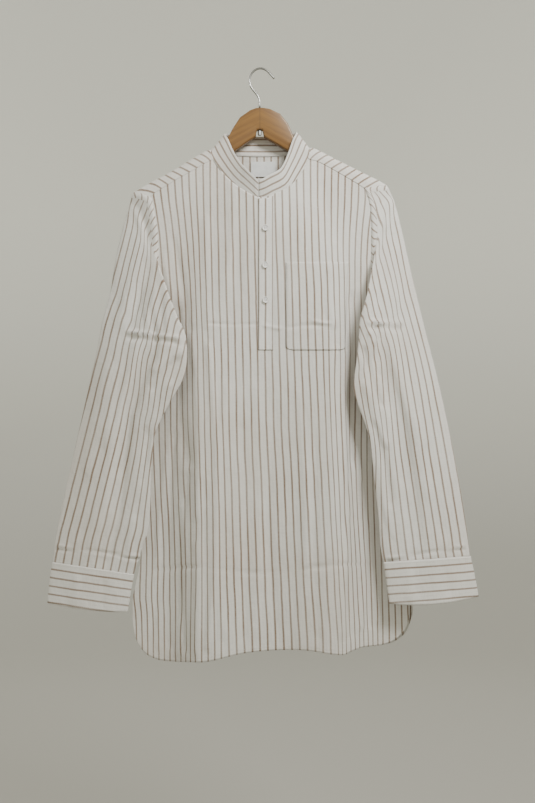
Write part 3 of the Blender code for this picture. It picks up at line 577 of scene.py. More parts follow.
def back_grid(front):
    """Rows of the back from the forward seam, over the shoulder, down to the hem."""
    ridge = BACK_RIDGE
    width = ridge["at_x"][-1] - ridge["at_x"][0]
    columns = []
    for c, ridge_x in enumerate(ridge["at_x"]):
        share = (ridge_x - ridge["at_x"][0]) / width
        ridge_z = ridge["line_z"][c]
        turn = ridge["turn"][c]
        foot_z = ridge_z - WRAP_DROP
        foot_x, back_y = back_place(share, foot_z)
        end_x = ridge["front_x"][c]
        end_z = ridge_z
        front_y = -back_y
        if turn > 0.5:
            line_z = float(smooth(FRONT_TOP["at_x"], FRONT_TOP["line_z"], end_x))
            end_z = line_z - SEAM_LAP
            front_y = float(np.interp(end_x, front[0, :, 0], front[0, :, 2])) - SEAM_RISE
        path = []
        for k in range(WRAP_STEPS, 0, -1):
            angle = math.pi * turn * k / WRAP_STEPS
            rise = math.sin(angle) / math.sin(min(math.pi / 2, math.pi * turn))
            depth = back_y - (back_y - front_y) * (1.0 - math.cos(angle)) / 2.0
            if angle <= math.pi / 2:
                quarter = angle / min(math.pi / 2, math.pi * turn)
                x = foot_x + (ridge_x - foot_x) * quarter
                z = foot_z + (ridge_z - foot_z) * rise
            else:
                quarter = (angle - math.pi / 2) / (math.pi / 2)
                x = ridge_x + (end_x - ridge_x) * quarter
                z = end_z + (ridge_z - end_z) * math.sin(angle)
            path.append((x, z, depth))
        path.append((foot_x, foot_z, back_y))
        levels = list(BACK_LEVEL["at_z"])
        middle = (foot_z + levels[0]) / 2.0
        levels.insert(0, middle)
        for level in levels:
            x, depth = back_place(share, level)
            path.append((x, level, depth))
        hem = levels[-1]
        for _ in range(LIMIT_ROUNDS):
            hem = float(smooth(BACK_HEM["at_x"], BACK_HEM["line_z"], back_place(share, hem)[0]))
        for r in range(1, HEM_ROWS + 1):
            level = levels[-1] + (hem - levels[-1]) * r / HEM_ROWS
            x, depth = back_place(share, level)
            path.append((x, level, depth))
        columns.append(path)
    return np.array(columns).transpose(1, 0, 2)


def normals(grid):
    """Unit normals at the points of a grid in metres, toward the front for a front facing one."""
    across = np.gradient(grid, axis=1)
    down = np.gradient(grid, axis=0)
    turned = np.cross(down, across)
    return turned / np.linalg.norm(turned, axis=-1, keepdims=True)


def spline(keys, columns, count):
    """Closed smooth ring through key points that sit at given column numbers."""
    keys = np.array(keys, float)
    columns = np.array(columns, float)
    size = len(keys)
    before = keys[np.arange(-1, size - 1) % size]
    after = keys[(np.arange(size) + 1) % size]
    gap_before = (columns - np.roll(columns, 1)) % count
    gap_after = (np.roll(columns, -1) - columns) % count
    lean = (after - before) / (gap_before + gap_after)[:, None]
    ring = []
    for c in range(count):
        i = int(np.searchsorted(columns, c, side="right")) - 1
        j = (i + 1) % size
        step = gap_after[i]
        t = (c - columns[i]) / step
        rest = 1.0 - t
        point = keys[i] * (1 + 2 * t) * rest ** 2 + lean[i] * step * t * rest ** 2
        point = point + keys[j] * t * t * (3 - 2 * t) - lean[j] * step * t * t * rest
        ring.append(point)
    return np.array(ring)


def sleeve_ring(rows, at):
    """One section of a sleeve. at is a place in its table."""
    index = np.arange(len(rows["out_x"]))
    value = {name: float(smooth(index, column, at)) for name, column in rows.items()}
    outer = np.array([value["out_x"], value["out_z"], value["out_y"]])
    inner = np.array([value["in_x"], value["in_z"], value["in_y"]])
    under = np.array([value["under_x"], value["under_z"], value["under_y"]])
    along = inner - outer
    across = np.array([-along[1], along[0], 0.0]) / np.hypot(along[0], along[1])
    if across[1] < 0:
        across = -across
    lift = across * value["lift"]
    upper = outer + along * UPPER_SHARE + lift
    upper[2] = value["front_y"]
    lower = outer + along * LOWER_SHARE + lift * LOWER_LIFT
    lower[2] = min(value["front_y"], value["in_y"]) - LOWER_FORWARD
    back = outer + (under - outer) * 0.5
    back[2] = value["back_y"]
    columns = CAP_COLUMNS + (ARM_COLUMNS - CAP_COLUMNS) * min(1.0, at / CAP_ROWS)
    ring = spline([outer, upper, lower, inner, under, back], columns, RING_COLUMNS)
    share = ((ring - outer) @ along) / (along @ along)
    far = (share - TROUGH_SHARE) * np.linalg.norm(along)
    front = np.zeros(RING_COLUMNS)
    front[1:INNER_COLUMN] = 1.0
    ring[:, 2] += value["trough"] * np.exp(-(far / TROUGH_WIDTH) ** 2) * front
    return ring


def armhole(front, back, side):
    """The edge of the body that a sleeve is sewn to, and which way is off the body there."""
    column = 0 if side < 0 else -1
    next_column = 1 if side < 0 else -2
    front_levels = list(FRONT_LEVEL["at_z"])
    under = TOP_ROWS + front_levels.index(UNDERARM_Z)
    back_levels = list(BACK_LEVEL["at_z"])
    back_under = WRAP_STEPS + 2 + back_levels.index(UNDERARM_Z)
    half = WRAP_STEPS // 2
    edge = [back[half - k, column] for k in range(half)]
    inside = [back[half - k, next_column] for k in range(half)]
    edge += [front[r, column] for r in range(under + 1)]
    inside += [front[r, next_column] for r in range(under + 1)]
    edge += [back[r, column] for r in range(back_under - 1, half, -1)]
    inside += [back[r, next_column] for r in range(back_under - 1, half, -1)]
    edge = np.array(edge)
    inside = np.array(inside)
    edge[half] = (back[0, column] + front[0, column]) / 2.0
    edge[half + under, 2] = 0.0
    along = np.roll(edge, -1, axis=0) - np.roll(edge, 1, axis=0)
    along /= np.linalg.norm(along, axis=1, keepdims=True)
    off = edge - inside
    off -= np.sum(off * along, axis=1, keepdims=True) * along
    off[half + 1: -half, 2] = 0.0
    off /= np.linalg.norm(off, axis=1, keepdims=True)
    off[half] = (off[half - 1] + off[half + 1]) * CORNER_REACH
    off[half + under] = (side * UNDERARM_OUT, -UNDERARM_DOWN, 0.0)
    return edge, off


def sleeve(rows, front, back, side):
    """The sleeve's rings from its armhole to the cuff. side is -1 for the left of the view."""
    edge, off = armhole(front, back, side)
    count = len(edge)
    column = np.arange(count)
    forward = smooth(LEAD["at_column"], LEAD["forward"], column)
    first = edge - off * SEAM_LAP
    first[:, 2] -= np.sign(edge[:, 2]) * SEAM_RISE
    second = edge + off * SECOND_REACH
    second[:, 2] += forward
    places = np.linspace(0.0, len(rows["out_x"]) - 1.0, SLEEVE_STEPS)
    rest = [sleeve_ring(rows, at) for at in places]
    third = second + (rest[0] - second) * THIRD_SHARE
    rings = [first, second, third] + rest
    return np.array(rings)


def cuff(rows, last):
    """The cuff's rings: the sleeve's last ring carried down, widened to the cuff's edges."""
    outer = last[0]
    inner = last[INNER_COLUMN]
    along = inner - outer
    share = ((last - outer)[:, :2] @ along[:2]) / (along[:2] @ along[:2])
    depth = last[:, 2]
    rings = []
    for at in np.linspace(0.0, len(rows["out_x"]) - 1.0, CUFF_RINGS):
        index = np.arange(len(rows["out_x"]))
        value = {name: float(smooth(index, column, at)) for name, column in rows.items()}
        start = np.array([value["out_x"], value["out_z"]])
        end = np.array([value["in_x"], value["in_z"]])
        ring = np.zeros((len(last), 3))
        ring[:, :2] = start + share[:, None] * (end - start)
        ring[:, 1] -= value["sag"] * 4.0 * share * (1.0 - share)
        ring[:, 2] = depth
        rings.append(ring)
    rings[0] = last + (0.0, SEAM_LAP, 0.0)
    return np.array(rings)


# Where some of the stripes run: their x at each height. The front's are counted from the one left
# of the placket, and the sleeves' inward from the outer fold.
FRONT_STRIPES = (-16, -12, -9, -7, -5, -3, 0, 4, 7, 10, 12, 14, 16, 18, 20, 24)
FRONT_FLOW = table("at_z a_x b_x c_x d_x e_x f_x g_x h_x i_x j_x k_x l_x m_x n_x o_x p_x",
    (-202.6, -200.5, -155.5, -122.2, -99.9, -77.5, -55, -21.1, 24.7,
     58.4, 91.8, 113.7, 135.6, 157, 179.1, 201.1, 243.6),
    (-281.3, -189.5, -145.2, -113.6, -95, -75.9, -53.1, -19.1, 26.3,
     60, 93.9, 113.1, 131.3, 150.7, 169.6, 190.1, 229.5),
    (-360.1, -183.2, -139.4, -107.4, -92.8, -74.5, -52, -17.3, 29.4,
     63.3, 98, 117.8, 133.5, 150.7, 169.6, 188.5, 224.7),
    (-446.7, -175.3, -132.8, -105.2, -88.8, -71.5, -49.3, -14.5,
     31, 65.3, 100.2, 118.4, 134.8, 152.3, 169.6, 188.5, 223.2),
    (-541.2, -167.4, -129.6, -104.8, -86.8, -68.7, -47.9, -12.5,
     34.2, 69.8, 104.4, 118.7, 133.9, 152.3, 169.6, 186.9, 221.6),
    (-588.5, -167.4, -130.1, -103.8, -85.9, -67.4, -48.2, -12.8,
     34.2, 71, 105.5, 121.6, 135, 152.3, 169.6, 186.9, 221.6),
    (-635.7, -165.9, -129.6, -101.8, -84.6, -65.2, -44.7, -9.2,
     38.9, 73.4, 108, 124.1, 136.4, 150.7, 169.6, 186.9, 221.6),
    (-730.2, -161.1, -125.2, -98.8, -82.1, -63, -42.2, -6.8, 42,
     77.9, 113.9, 128.5, 142.1, 155.4, 171.2, 190.1, 224.7),
    (-824.7, -159.6, -122.7, -99.1, -82.2, -62.2, -39.5, -3.5, 46.8,
     82.2, 118.9, 132.8, 147.2, 161.7, 175.9, 193.2, 232.6),
    (-919.2, -158, -123.2, -101, -80.7, -59.6, -35.3, 1.6, 51.5,
     89, 125, 137.3, 151.2, 164.9, 179.1, 194.8, 235.8))
LEFT_STRIPES = (-1, 1, 3, 5, 7, 9, 11)
LEFT_FLOW = table("at_z a_x b_x c_x d_x e_x f_x g_x",
    (-218.3, -200.5, -181.6, -169, -159.6, -150.1, -140.7, -131.2),
    (-281.3, -210.8, -191.4, -177.7, -165.9, -154.8, -142.2, -129.6),
    (-344.3, -232.3, -210.3, -190.4, -172.8, -150.1, -129.6, -109.2),
    (-407.3, -250.9, -227, -203.8, -188.2, -171.2, -153.1, -129.8),
    (-454.6, -264.3, -239.7, -215.5, -196.1, -182.7, -165.9, -143),
    (-533.3, -284.8, -259.3, -233.9, -209.8, -191.4, -173.9, -156.9),
    (-612.1, -305.2, -279.3, -253.1, -228.1, -203.7, -184.8, -169),
    (-690.8, -325.7, -299.7, -273.4, -247.8, -222.1, -197, -178),
    (-753.8, -340.7, -314.7, -288.6, -262.3, -236.7, -211.2, -186.8),
    (-809, -354.1, -328.1, -301.3, -275.3, -249.3, -223.8, -198.9))
RIGHT_STRIPES = (11, 9, 7, 5, 3, 1, -1)
RIGHT_FLOW = table("at_z a_x b_x c_x d_x e_x f_x g_x",
    (-218.3, 136.5, 149.1, 161.7, 174.3, 190.1, 207.4, 226.3),
    (-281.3, 138.1, 152.3, 166.5, 182.2, 200.3, 220.2, 238.9),
    (-344.3, 144.4, 161.7, 179.4, 198.9, 213.7, 231.4, 253.1),
    (-407.3, 153.9, 172.4, 193.1, 212.5, 227.9, 248.7, 270.4),
    (-454.6, 172.9, 190.9, 207.3, 223.9, 242.1, 261.1, 284.6),
    (-533.3, 179.1, 196.4, 213.7, 232.6, 256.2, 278, 302.7),
    (-612.1, 190.7, 203.9, 221.4, 244.7, 267.6, 292.5, 317.7),
    (-690.8, 191.8, 209.5, 233.1, 257, 280.3, 306.5, 332.6),
    (-753.8, 193.6, 217, 241.9, 265.7, 290.7, 316.1, 342.1),
    (-809, 201.1, 224.7, 249.9, 273.6, 298.8, 324.7, 350.7))
# Rows to either side over which the stripes, and the sleeves' lines that they start from, are evened.
FLOW_SMOOTH = 9
ANCHOR_SMOOTH = 14

# Creases: the two ends of each, how wide it is to either side, and how far it stands out (or in).
FRONT_CREASE = table("at_x at_z to_x to_z wide rise",
    (-84, -240.4, -80.8, -423.1, 5, 1),
    (-80.8, -438.8, -80.8, -930.2, 4.5, 1.3),
    (111.3, -316, 117.6, -423.1, 5, 1),
    (120.8, -446.7, 128.7, -911.3, 5, 1.3),
    (-169, -801.1, -85.5, -796.4, 2.6, -0.8),
    (-74.5, -797.9, 48.3, -802.7, 2.4, -0.6),
    (64.1, -801.1, 190.1, -794.8, 2.6, -0.8),
    (-84, -412.1, -2.1, -413.6, 2.6, -0.5),
    (4.2, -415.2, 37.3, -421.5, 3, 0.8),
    (42, -419.9, 98.7, -416.8, 3, -0.6),
    (79.8, -407.3, 114.5, -413.6, 2.6, 1),
    (-153.3, -297.1, -131.2, -423.1, 6, 0.9),
    (-137.5, -273.5, -106, -501.8, 5, -0.9),
    (-128.1, -375.8, -109.2, -643.6, 8, -1.6),
    (-109.2, -423.1, -98.1, -722.3, 5, 0.9),
    (146, -360.1, 149.1, -643.6, 7, -1.5),
    (136.5, -454.6, 142.8, -722.3, 4.5, 0.9),
    (-159.6, -596.3, -172.2, -923.9, 4.5, -1),
    (-147, -615.2, -156.4, -930.2, 4, 1),
    (-134.4, -580.6, -142.2, -927.1, 3.6, -1.1),
    (-123.3, -690.8, -128.1, -936.5, 3.4, 1),
    (-110.7, -643.6, -115.5, -933.4, 3.6, -1.2),
    (-99.7, -753.8, -101.3, -936.5, 3.2, 0.9),
    (-90.3, -659.3, -90.3, -935, 3.2, -0.9),
    (139.7, -643.6, 146, -911.3, 3.8, -1.1),
    (150.7, -596.3, 160.2, -898.7, 3.6, 1),
    (161.7, -659.3, 174.3, -895.6, 3.6, -1.1),
    (174.3, -722.3, 190.1, -889.3, 3.8, 1),
    (-43, -174.2, -58.8, -375.8, 9, 0.9),
    (-25.7, -202.6, -33.6, -375.8, 8, -0.8),
    (57.8, -196.3, 73.5, -316, 9, 0.8),
    (98.7, -180.5, 105, -297.1, 8, -0.8),
    (-49.3, -501.8, -55.6, -911.3, 7, 0.9),
    (-28.8, -564.8, -25.7, -919.2, 6, -0.9),
    (-5.2, -501.8, -6.8, -911.3, 8, 0.9),
    (27.9, -533.3, 31, -923.9, 6, -0.9),
    (57.8, -501.8, 59.4, -923.9, 7, 1),
    (89.3, -580.6, 92.4, -919.2, 6, -0.9))
BACK_CREASE = table("at_x at_z to_x to_z wide rise",
    (-172.2, -797.9, -14.7, -793.2, 2.6, 0.8),
    (4.2, -794.8, 198, -799.5, 2.6, 0.7),
    (-140.7, -410.5, 135, -416.8, 2.8, -0.6),
    (-109.2, -186.8, -87.1, -423.1, 10, 1.2),
    (-58.8, -171.1, -52.5, -564.8, 9, -1.2),
    (10.5, -163.2, 9, -690.8, 10, 1.2),
    (73.5, -171.1, 65.7, -549.1, 9, -1.2),
    (127.1, -190, 105, -438.8, 10, 1.2),
    (-143.8, -297.1, -121.8, -580.6, 7, -1.3),
    (146, -305, 130.2, -580.6, 7, -1.3),
    (-159.6, -580.6, -164.3, -911.3, 6, 1.1),
    (-115.5, -643.6, -118.6, -930.2, 6, -1.2),
    (-71.4, -690.8, -72.9, -935, 7, 1.1),
    (-27.3, -596.3, -30.4, -935, 6, -1),
    (51.5, -612.1, 56.2, -935, 6, 1.1),
    (95.6, -659.3, 100.3, -930.2, 6, -1.2),
    (142.8, -627.8, 152.3, -919.2, 6, 1.1),
    (177.5, -643.6, 191.7, -895.6, 6, -1))
SLEEVE_L_CREASE = table("at_x at_z to_x to_z wide rise",
    (-210, -426.2, -123.3, -435.7, 2.6, 1.7),
    (-210, -435.7, -124.9, -445.1, 3.4, -1),
    (-320.2, -761.7, -184.8, -779, 2.4, 0.9),
    (-320.2, -768, -184.8, -785.3, 2.6, -1.2),
    (-172.2, -316, -206.8, -423.1, 7, -1.3),
    (-156.4, -352.2, -181.6, -423.1, 5, 1),
    (-115.5, -448.3, -169, -489.2, 5, 1.5),
    (-124.9, -464, -172.2, -520.7, 4.5, -1.4),
    (-137.5, -501.8, -178.5, -580.6, 5, 1.2),
    (-187.9, -265.6, -225.7, -423.1, 9, 1),
    (-200.5, -446.7, -232, -580.6, 8, -1),
    (-159.6, -552.2, -191.1, -690.8, 4.5, 1.2),
    (-172.2, -580.6, -197.4, -722.3, 4.5, -1.4),
    (-232, -470.3, -269.8, -659.3, 9, 0.9),
    (-244.6, -596.3, -282.4, -753.8, 8, -0.8),
    (-219.4, -643.6, -244.6, -785.3, 7, 0.9),
    (-184.8, -659.3, -206.8, -794.8, 5, 1),
    (-197.4, -227.8, -184.8, -278.2, 5, 0.9),
    (-181.6, -240.4, -173.7, -290.8, 4, -0.8))
SLEEVE_R_CREASE = table("at_x at_z to_x to_z wide rise",
    (168, -410.5, 227.9, -413.6, 2.6, 1.7),
    (168, -419.9, 227.9, -423.1, 3.4, -1),
    (199.5, -782.2, 325.5, -761.7, 2.4, 0.9),
    (199.5, -788.5, 325.5, -768, 2.6, -1.2),
    (196.4, -268.7, 218.4, -423.1, 8, 1),
    (183.8, -328.6, 202.7, -423.1, 6, -1.2),
    (168, -410.5, 190.1, -489.2, 5, 1.3),
    (161.7, -446.7, 196.4, -549.1, 5, -1.4),
    (164.9, -501.8, 202.7, -612.1, 5, 1.2),
    (177.5, -564.8, 209, -706.6, 5, -1.5),
    (186.9, -627.8, 212.1, -753.8, 4.5, 1.1),
    (221.6, -423.1, 249.9, -564.8, 8, -0.9),
    (234.2, -533.3, 265.7, -690.8, 8, 1),
    (265.7, -596.3, 294, -753.8, 8, -0.8),
    (227.9, -659.3, 243.6, -779, 7, 0.9),
    (205.8, -218.3, 196.4, -275, 5, 0.9),
    (215.3, -227.8, 212.1, -297.1, 5, -0.8))
BAND_CREASE = table("at_x at_z to_x to_z wide rise",
    (-285.6, -804.2, -291.9, -857.8, 7, 0.8),
    (-244.6, -813.7, -247.8, -867.2, 7, -0.8),
    (237.3, -801.1, 240.5, -857.8, 7, 0.8),
    (294, -794.8, 300.3, -848.3, 7, -0.8))


def fine_axis(grid, parts):
    """Each step along the first axis cut into parts, on a smooth curve without overshoot."""
    step = np.diff(grid, axis=0)
    same_way = step[:-1] * step[1:] > 0
    total = np.where(same_way, step[:-1] + step[1:], 1.0)
    lean = np.zeros_like(grid)
    lean[0] = step[0]
    lean[-1] = step[-1]
    lean[1:-1] = np.where(same_way, 2.0 * step[:-1] * step[1:] / total, 0.0)
    rows = []
    for k in range(parts):
        t = k / parts
        rest = 1.0 - t
        start = grid[:-1] * (1.0 + 2.0 * t) * rest ** 2 + lean[:-1] * t * rest ** 2
        end = grid[1:] * t ** 2 * (3.0 - 2.0 * t) - lean[1:] * t ** 2 * rest
        rows.append(start + end)
    fine = np.stack(rows, axis=1).reshape((-1,) + grid.shape[1:])
    return np.concatenate([fine, grid[-1:]])


def finer(grid, down, across):
    """A coarse grid of points with more rows and columns."""
    fine = fine_axis(np.asarray(grid, float), down)
    return fine_axis(fine.swapaxes(0, 1), across).swapaxes(0, 1)


def soft_step(values, low, high):
    """0 at low, 1 at high, smooth between."""
    t = np.clip((values - low) / (high - low), 0.0, 1.0)
    return t * t * (3.0 - 2.0 * t)


def across_cloth(real):
    """Distance from the first column along each row, in millimetres, on cloth that hangs straight."""
    step = np.hypot(np.diff(real[..., 0], axis=1), np.diff(real[..., 1], axis=1)) / MM
    start = np.zeros((real.shape[0], 1))
    return np.concatenate([start, np.cumsum(step, axis=1)], axis=1)


def walked(points, axis):
    """Distance along the rows or the columns of a grid from the first one, in millimetres."""
    step = np.diff(points, axis=axis, prepend=points.take([0], axis=axis))
    return np.cumsum(np.linalg.norm(step, axis=-1), axis=axis) / MM


def creased(seen_grid, real, out, rows, closed=False):
    """The cloth with its creases. A crease shows where the cloth faces the same way as out."""
    x = seen_grid[..., 0]
    z = seen_grid[..., 1]
    rise = np.zeros(x.shape)
    for i in range(len(rows["at_x"])):
        start = np.array([rows["at_x"][i], rows["at_z"][i]])
        way = np.array([rows["to_x"][i], rows["to_z"][i]]) - start
        long = np.hypot(*way)
        way /= long
        along = (x - start[0]) * way[0] + (z - start[1]) * way[1]
        bend = math.sin(CREASE_TURN * i) * CREASE_BEND * long * np.sin(np.pi * np.clip(along / long, 0, 1))
        beside = (x - start[0]) * way[1] - (z - start[1]) * way[0] + bend
        end = rows["wide"][i] * CREASE_END
        past = end * CREASE_PAST
        ends = soft_step(along, -past, end) * (1.0 - soft_step(along, long - end, long + past))
        uneven = CREASE_MEAN + CREASE_SWING * np.sin(along / long * CREASE_WAVES + i)
        rise += CREASE_SCALE * rows["rise"][i] * ends * uneven * np.exp(-(beside / rows["wide"][i]) ** 2)
    rise = rise * soft_step(walked(real, 0), 0.0, CREASE_FADE)
    if not closed:
        side = walked(real, 1)
        rise = rise * soft_step(side, 0.0, CREASE_FADE) * soft_step(side[:, -1:] - side, 0.0, CREASE_FADE)
    return real + out * (rise * MM)[..., None]


def even_rows(values, reach):
    """Each row's mean with the rows within reach of it."""
    padded = np.concatenate([values[:1]] * reach + [values] + [values[-1:]] * reach)
    near = [padded[k: k + len(values)] for k in range(2 * reach + 1)]
    return sum(near) / len(near)


def stripe_count(seen_grid, rows, numbers):
    """Stripes counted across the cloth at each point, between the charted ones."""
    x = seen_grid[..., 0]
    height = -seen_grid[..., 1]
    charted = -np.array(rows["at_z"])
    lines = [np.interp(height, charted, rows[key]) for key in rows if key != "at_z"]
    count = np.zeros(x.shape)
    for k in range(len(numbers) - 1):
        share = (x - lines[k]) / (lines[k + 1] - lines[k])
        here = numbers[k] + share * (numbers[k + 1] - numbers[k])
        count = here if k == 0 else np.where(x > lines[k], here, count)
    return even_rows(count, FLOW_SMOOTH)


def facing(grid, way, closed=False):
    """Unit normals of a grid. way is 1 or -1, for the side that is the outside."""
    if closed:
        wide = np.concatenate([grid[:, -2:-1], grid, grid[:, 1:2]], axis=1)
        return facing(wide, way)[:, 1:-1]
    return normals(grid) * way


def new_object(name, data):
    """A new object in the scene."""
    item = bpy.data.objects.new(name, data)
    bpy.context.scene.collection.objects.link(item)
    return item


def final_mesh(item):
    """An object's mesh with what its modifiers or its curve make of it."""
    bpy.context.view_layer.update()
    return bpy.data.meshes.new_from_object(item.evaluated_get(bpy.context.evaluated_depsgraph_get()))


def in_order(mesh, material):
    """The same mesh with its points and faces sorted by place. A boolean gives them in another
    order at each run."""
    points = [tuple(value + 0.0 for value in vert.co) for vert in mesh.vertices]
    order = sorted(range(len(points)), key=points.__getitem__)
    rank = {old: new for new, old in enumerate(order)}
    faces = []
    for face in mesh.polygons:
        ring = [rank[i] for i in face.vertices]
        first = ring.index(min(ring))
        faces.append((ring[first:] + ring[:first], face.use_smooth))
    faces.sort()
    made = bpy.data.meshes.new(mesh.name)
    made.from_pydata([points[i] for i in order], [], [ring for ring, _ in faces])
    made.polygons.foreach_set("use_smooth", [is_smooth for _, is_smooth in faces])
    made.materials.append(material)
    bpy.data.meshes.remove(mesh)
    return made


def spun(profile, steps, join):
    """A shape turned about the upright axis from its profile of (radius, height) in metres."""
    shape = bmesh.new()
    verts = [shape.verts.new((r, 0.0, z)) for r, z in profile]
    edges = [shape.edges.new(pair) for pair in zip(verts[:-1], verts[1:])]
    bmesh.ops.spin(shape, geom=verts + edges, cent=(0, 0, 0), axis=(0, 0, 1), angle=math.tau,
                   steps=steps, use_merge=True)
    bmesh.ops.remove_doubles(shape, verts=shape.verts[:], dist=join)
    bmesh.ops.recalc_face_normals(shape, faces=shape.faces[:])
    return shape


def smooth_mesh(name, shape, material):
    """A mesh from a bmesh, shaded smooth."""
    for face in shape.faces:
        face.smooth = True
    mesh = bpy.data.meshes.new(name)
    shape.to_mesh(mesh)
    shape.free()
    mesh.materials.append(material)
    return mesh


def make_piece(name, shape, material):
    """Object from a bmesh that rides with the garment."""
    piece = new_object(name, smooth_mesh(name, shape, material))
    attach(piece, "root")
    return piece


def cloth(name, real, pattern, wall, material, tube=False, top=None):
    """A sheet of cloth through rows of points. pattern holds its own across and down distances,
    top another one for the first rows, where another strip is sewn on."""
    rows, columns = real.shape[:2]
    shape = bmesh.new()
    bmesh.ops.create_grid(shape, x_segments=columns - 1, y_segments=rows - 1, size=1.0)
    shape.verts.ensure_lookup_table()
    ordered = sorted(shape.verts, key=lambda v: (-round(v.co.y, 6), round(v.co.x, 6)))
    points = real.reshape(-1, 3)
    for i, vert in enumerate(ordered):
        vert.index = i
        vert.co = points[i]
    layer = shape.loops.layers.uv.new("cloth")
    flat = pattern.reshape(-1, 2) * MM
    strip = flat if top is None else top.reshape(-1, 2) * MM
    for face in shape.faces:
        row = min(loop.vert.index for loop in face.loops) // columns
        source = strip if top is not None and row < BAND_ROWS else flat
        for loop in face.loops:
            loop[layer].uv = source[loop.vert.index]
    if tube:
        bmesh.ops.remove_doubles(shape, verts=shape.verts[:], dist=JOIN_CLOTH)
    piece = make_piece(name, shape, material)
    solid = piece.modifiers.new("Wall", "SOLIDIFY")
    solid.thickness = wall * MM
    solid.offset = 0.0
    solid.use_even_offset = False
    return piece


def feed(tree, socket, value):
    """Sets a socket to a value, or links another socket to it."""
    if isinstance(value, bpy.types.NodeSocket):
        tree.links.new(value, socket)
    else:
        socket.default_value = value


def node(tree, kind, **sockets):
    """A shader node with values or links on its named inputs."""
    made = tree.nodes.new(kind)
    for key, value in sockets.items():
        feed(tree, made.inputs[key.replace("_", " ")], value)
    return made


def sum_of(tree, operation, first, second, third=None):
    """Result of a Math node."""
    made = tree.nodes.new("ShaderNodeMath")
    made.operation = operation
    for socket, value in zip(made.inputs, (first, second, third)):
        if value is not None:
            feed(tree, socket, value)
    return made.outputs[0]


def ramp(tree, value, low, high, start=0.0, end=1.0):
    """A value carried smoothly from low..high to start..end."""
    made = node(tree, "ShaderNodeMapRange", Value=value, From_Min=low, From_Max=high,
                To_Min=start, To_Max=end)
    made.interpolation_type = "SMOOTHSTEP"
    return made.outputs["Result"]


def noise(tree, where, scale, detail=2.0, rough=0.5, stretch=(1.0, 1.0, 1.0)):
    """Noise from coordinates stretched along each axis."""
    placed = node(tree, "ShaderNodeMapping", Vector=where, Scale=stretch).outputs[0]
    made = node(tree, "ShaderNodeTexNoise", Vector=placed, Scale=scale, Detail=detail, Roughness=rough)
    return made.outputs[0]


def blend(tree, share, first, second, kind="MIX"):
    """Two colours mixed."""
    made = tree.nodes.new("ShaderNodeMix")
    made.data_type = "RGBA"
    made.blend_type = kind
    for number, value in ((0, share), (6, first), (7, second)):
        feed(tree, made.inputs[number], value)
    return made.outputs[2]


def finish(name, roughness, metallic=0.0):
    """An empty finish: its node tree and its shader."""
    material = bpy.data.materials.new(name)
    material.use_nodes = True
    shader = material.node_tree.nodes["Principled BSDF"]
    shader.inputs["Roughness"].default_value = roughness
    shader.inputs["Metallic"].default_value = metallic
    return material, material.node_tree, shader


COTTON = (0.80, 0.785, 0.745, 1.0)
COTTON_WARM = (0.75, 0.715, 0.665, 1.0)
COTTON_WHITE = (0.875, 0.865, 0.835, 1.0)
STRIPE = (0.225, 0.150, 0.100, 1.0)
STRIPE_FAINT = (0.45, 0.36, 0.30, 1.0)
STRIPE_CORE = 0.36
STRIPE_EDGE = 0.8
STRIPE_WANDER = 0.0022
THREAD_SIZE = 0.00075


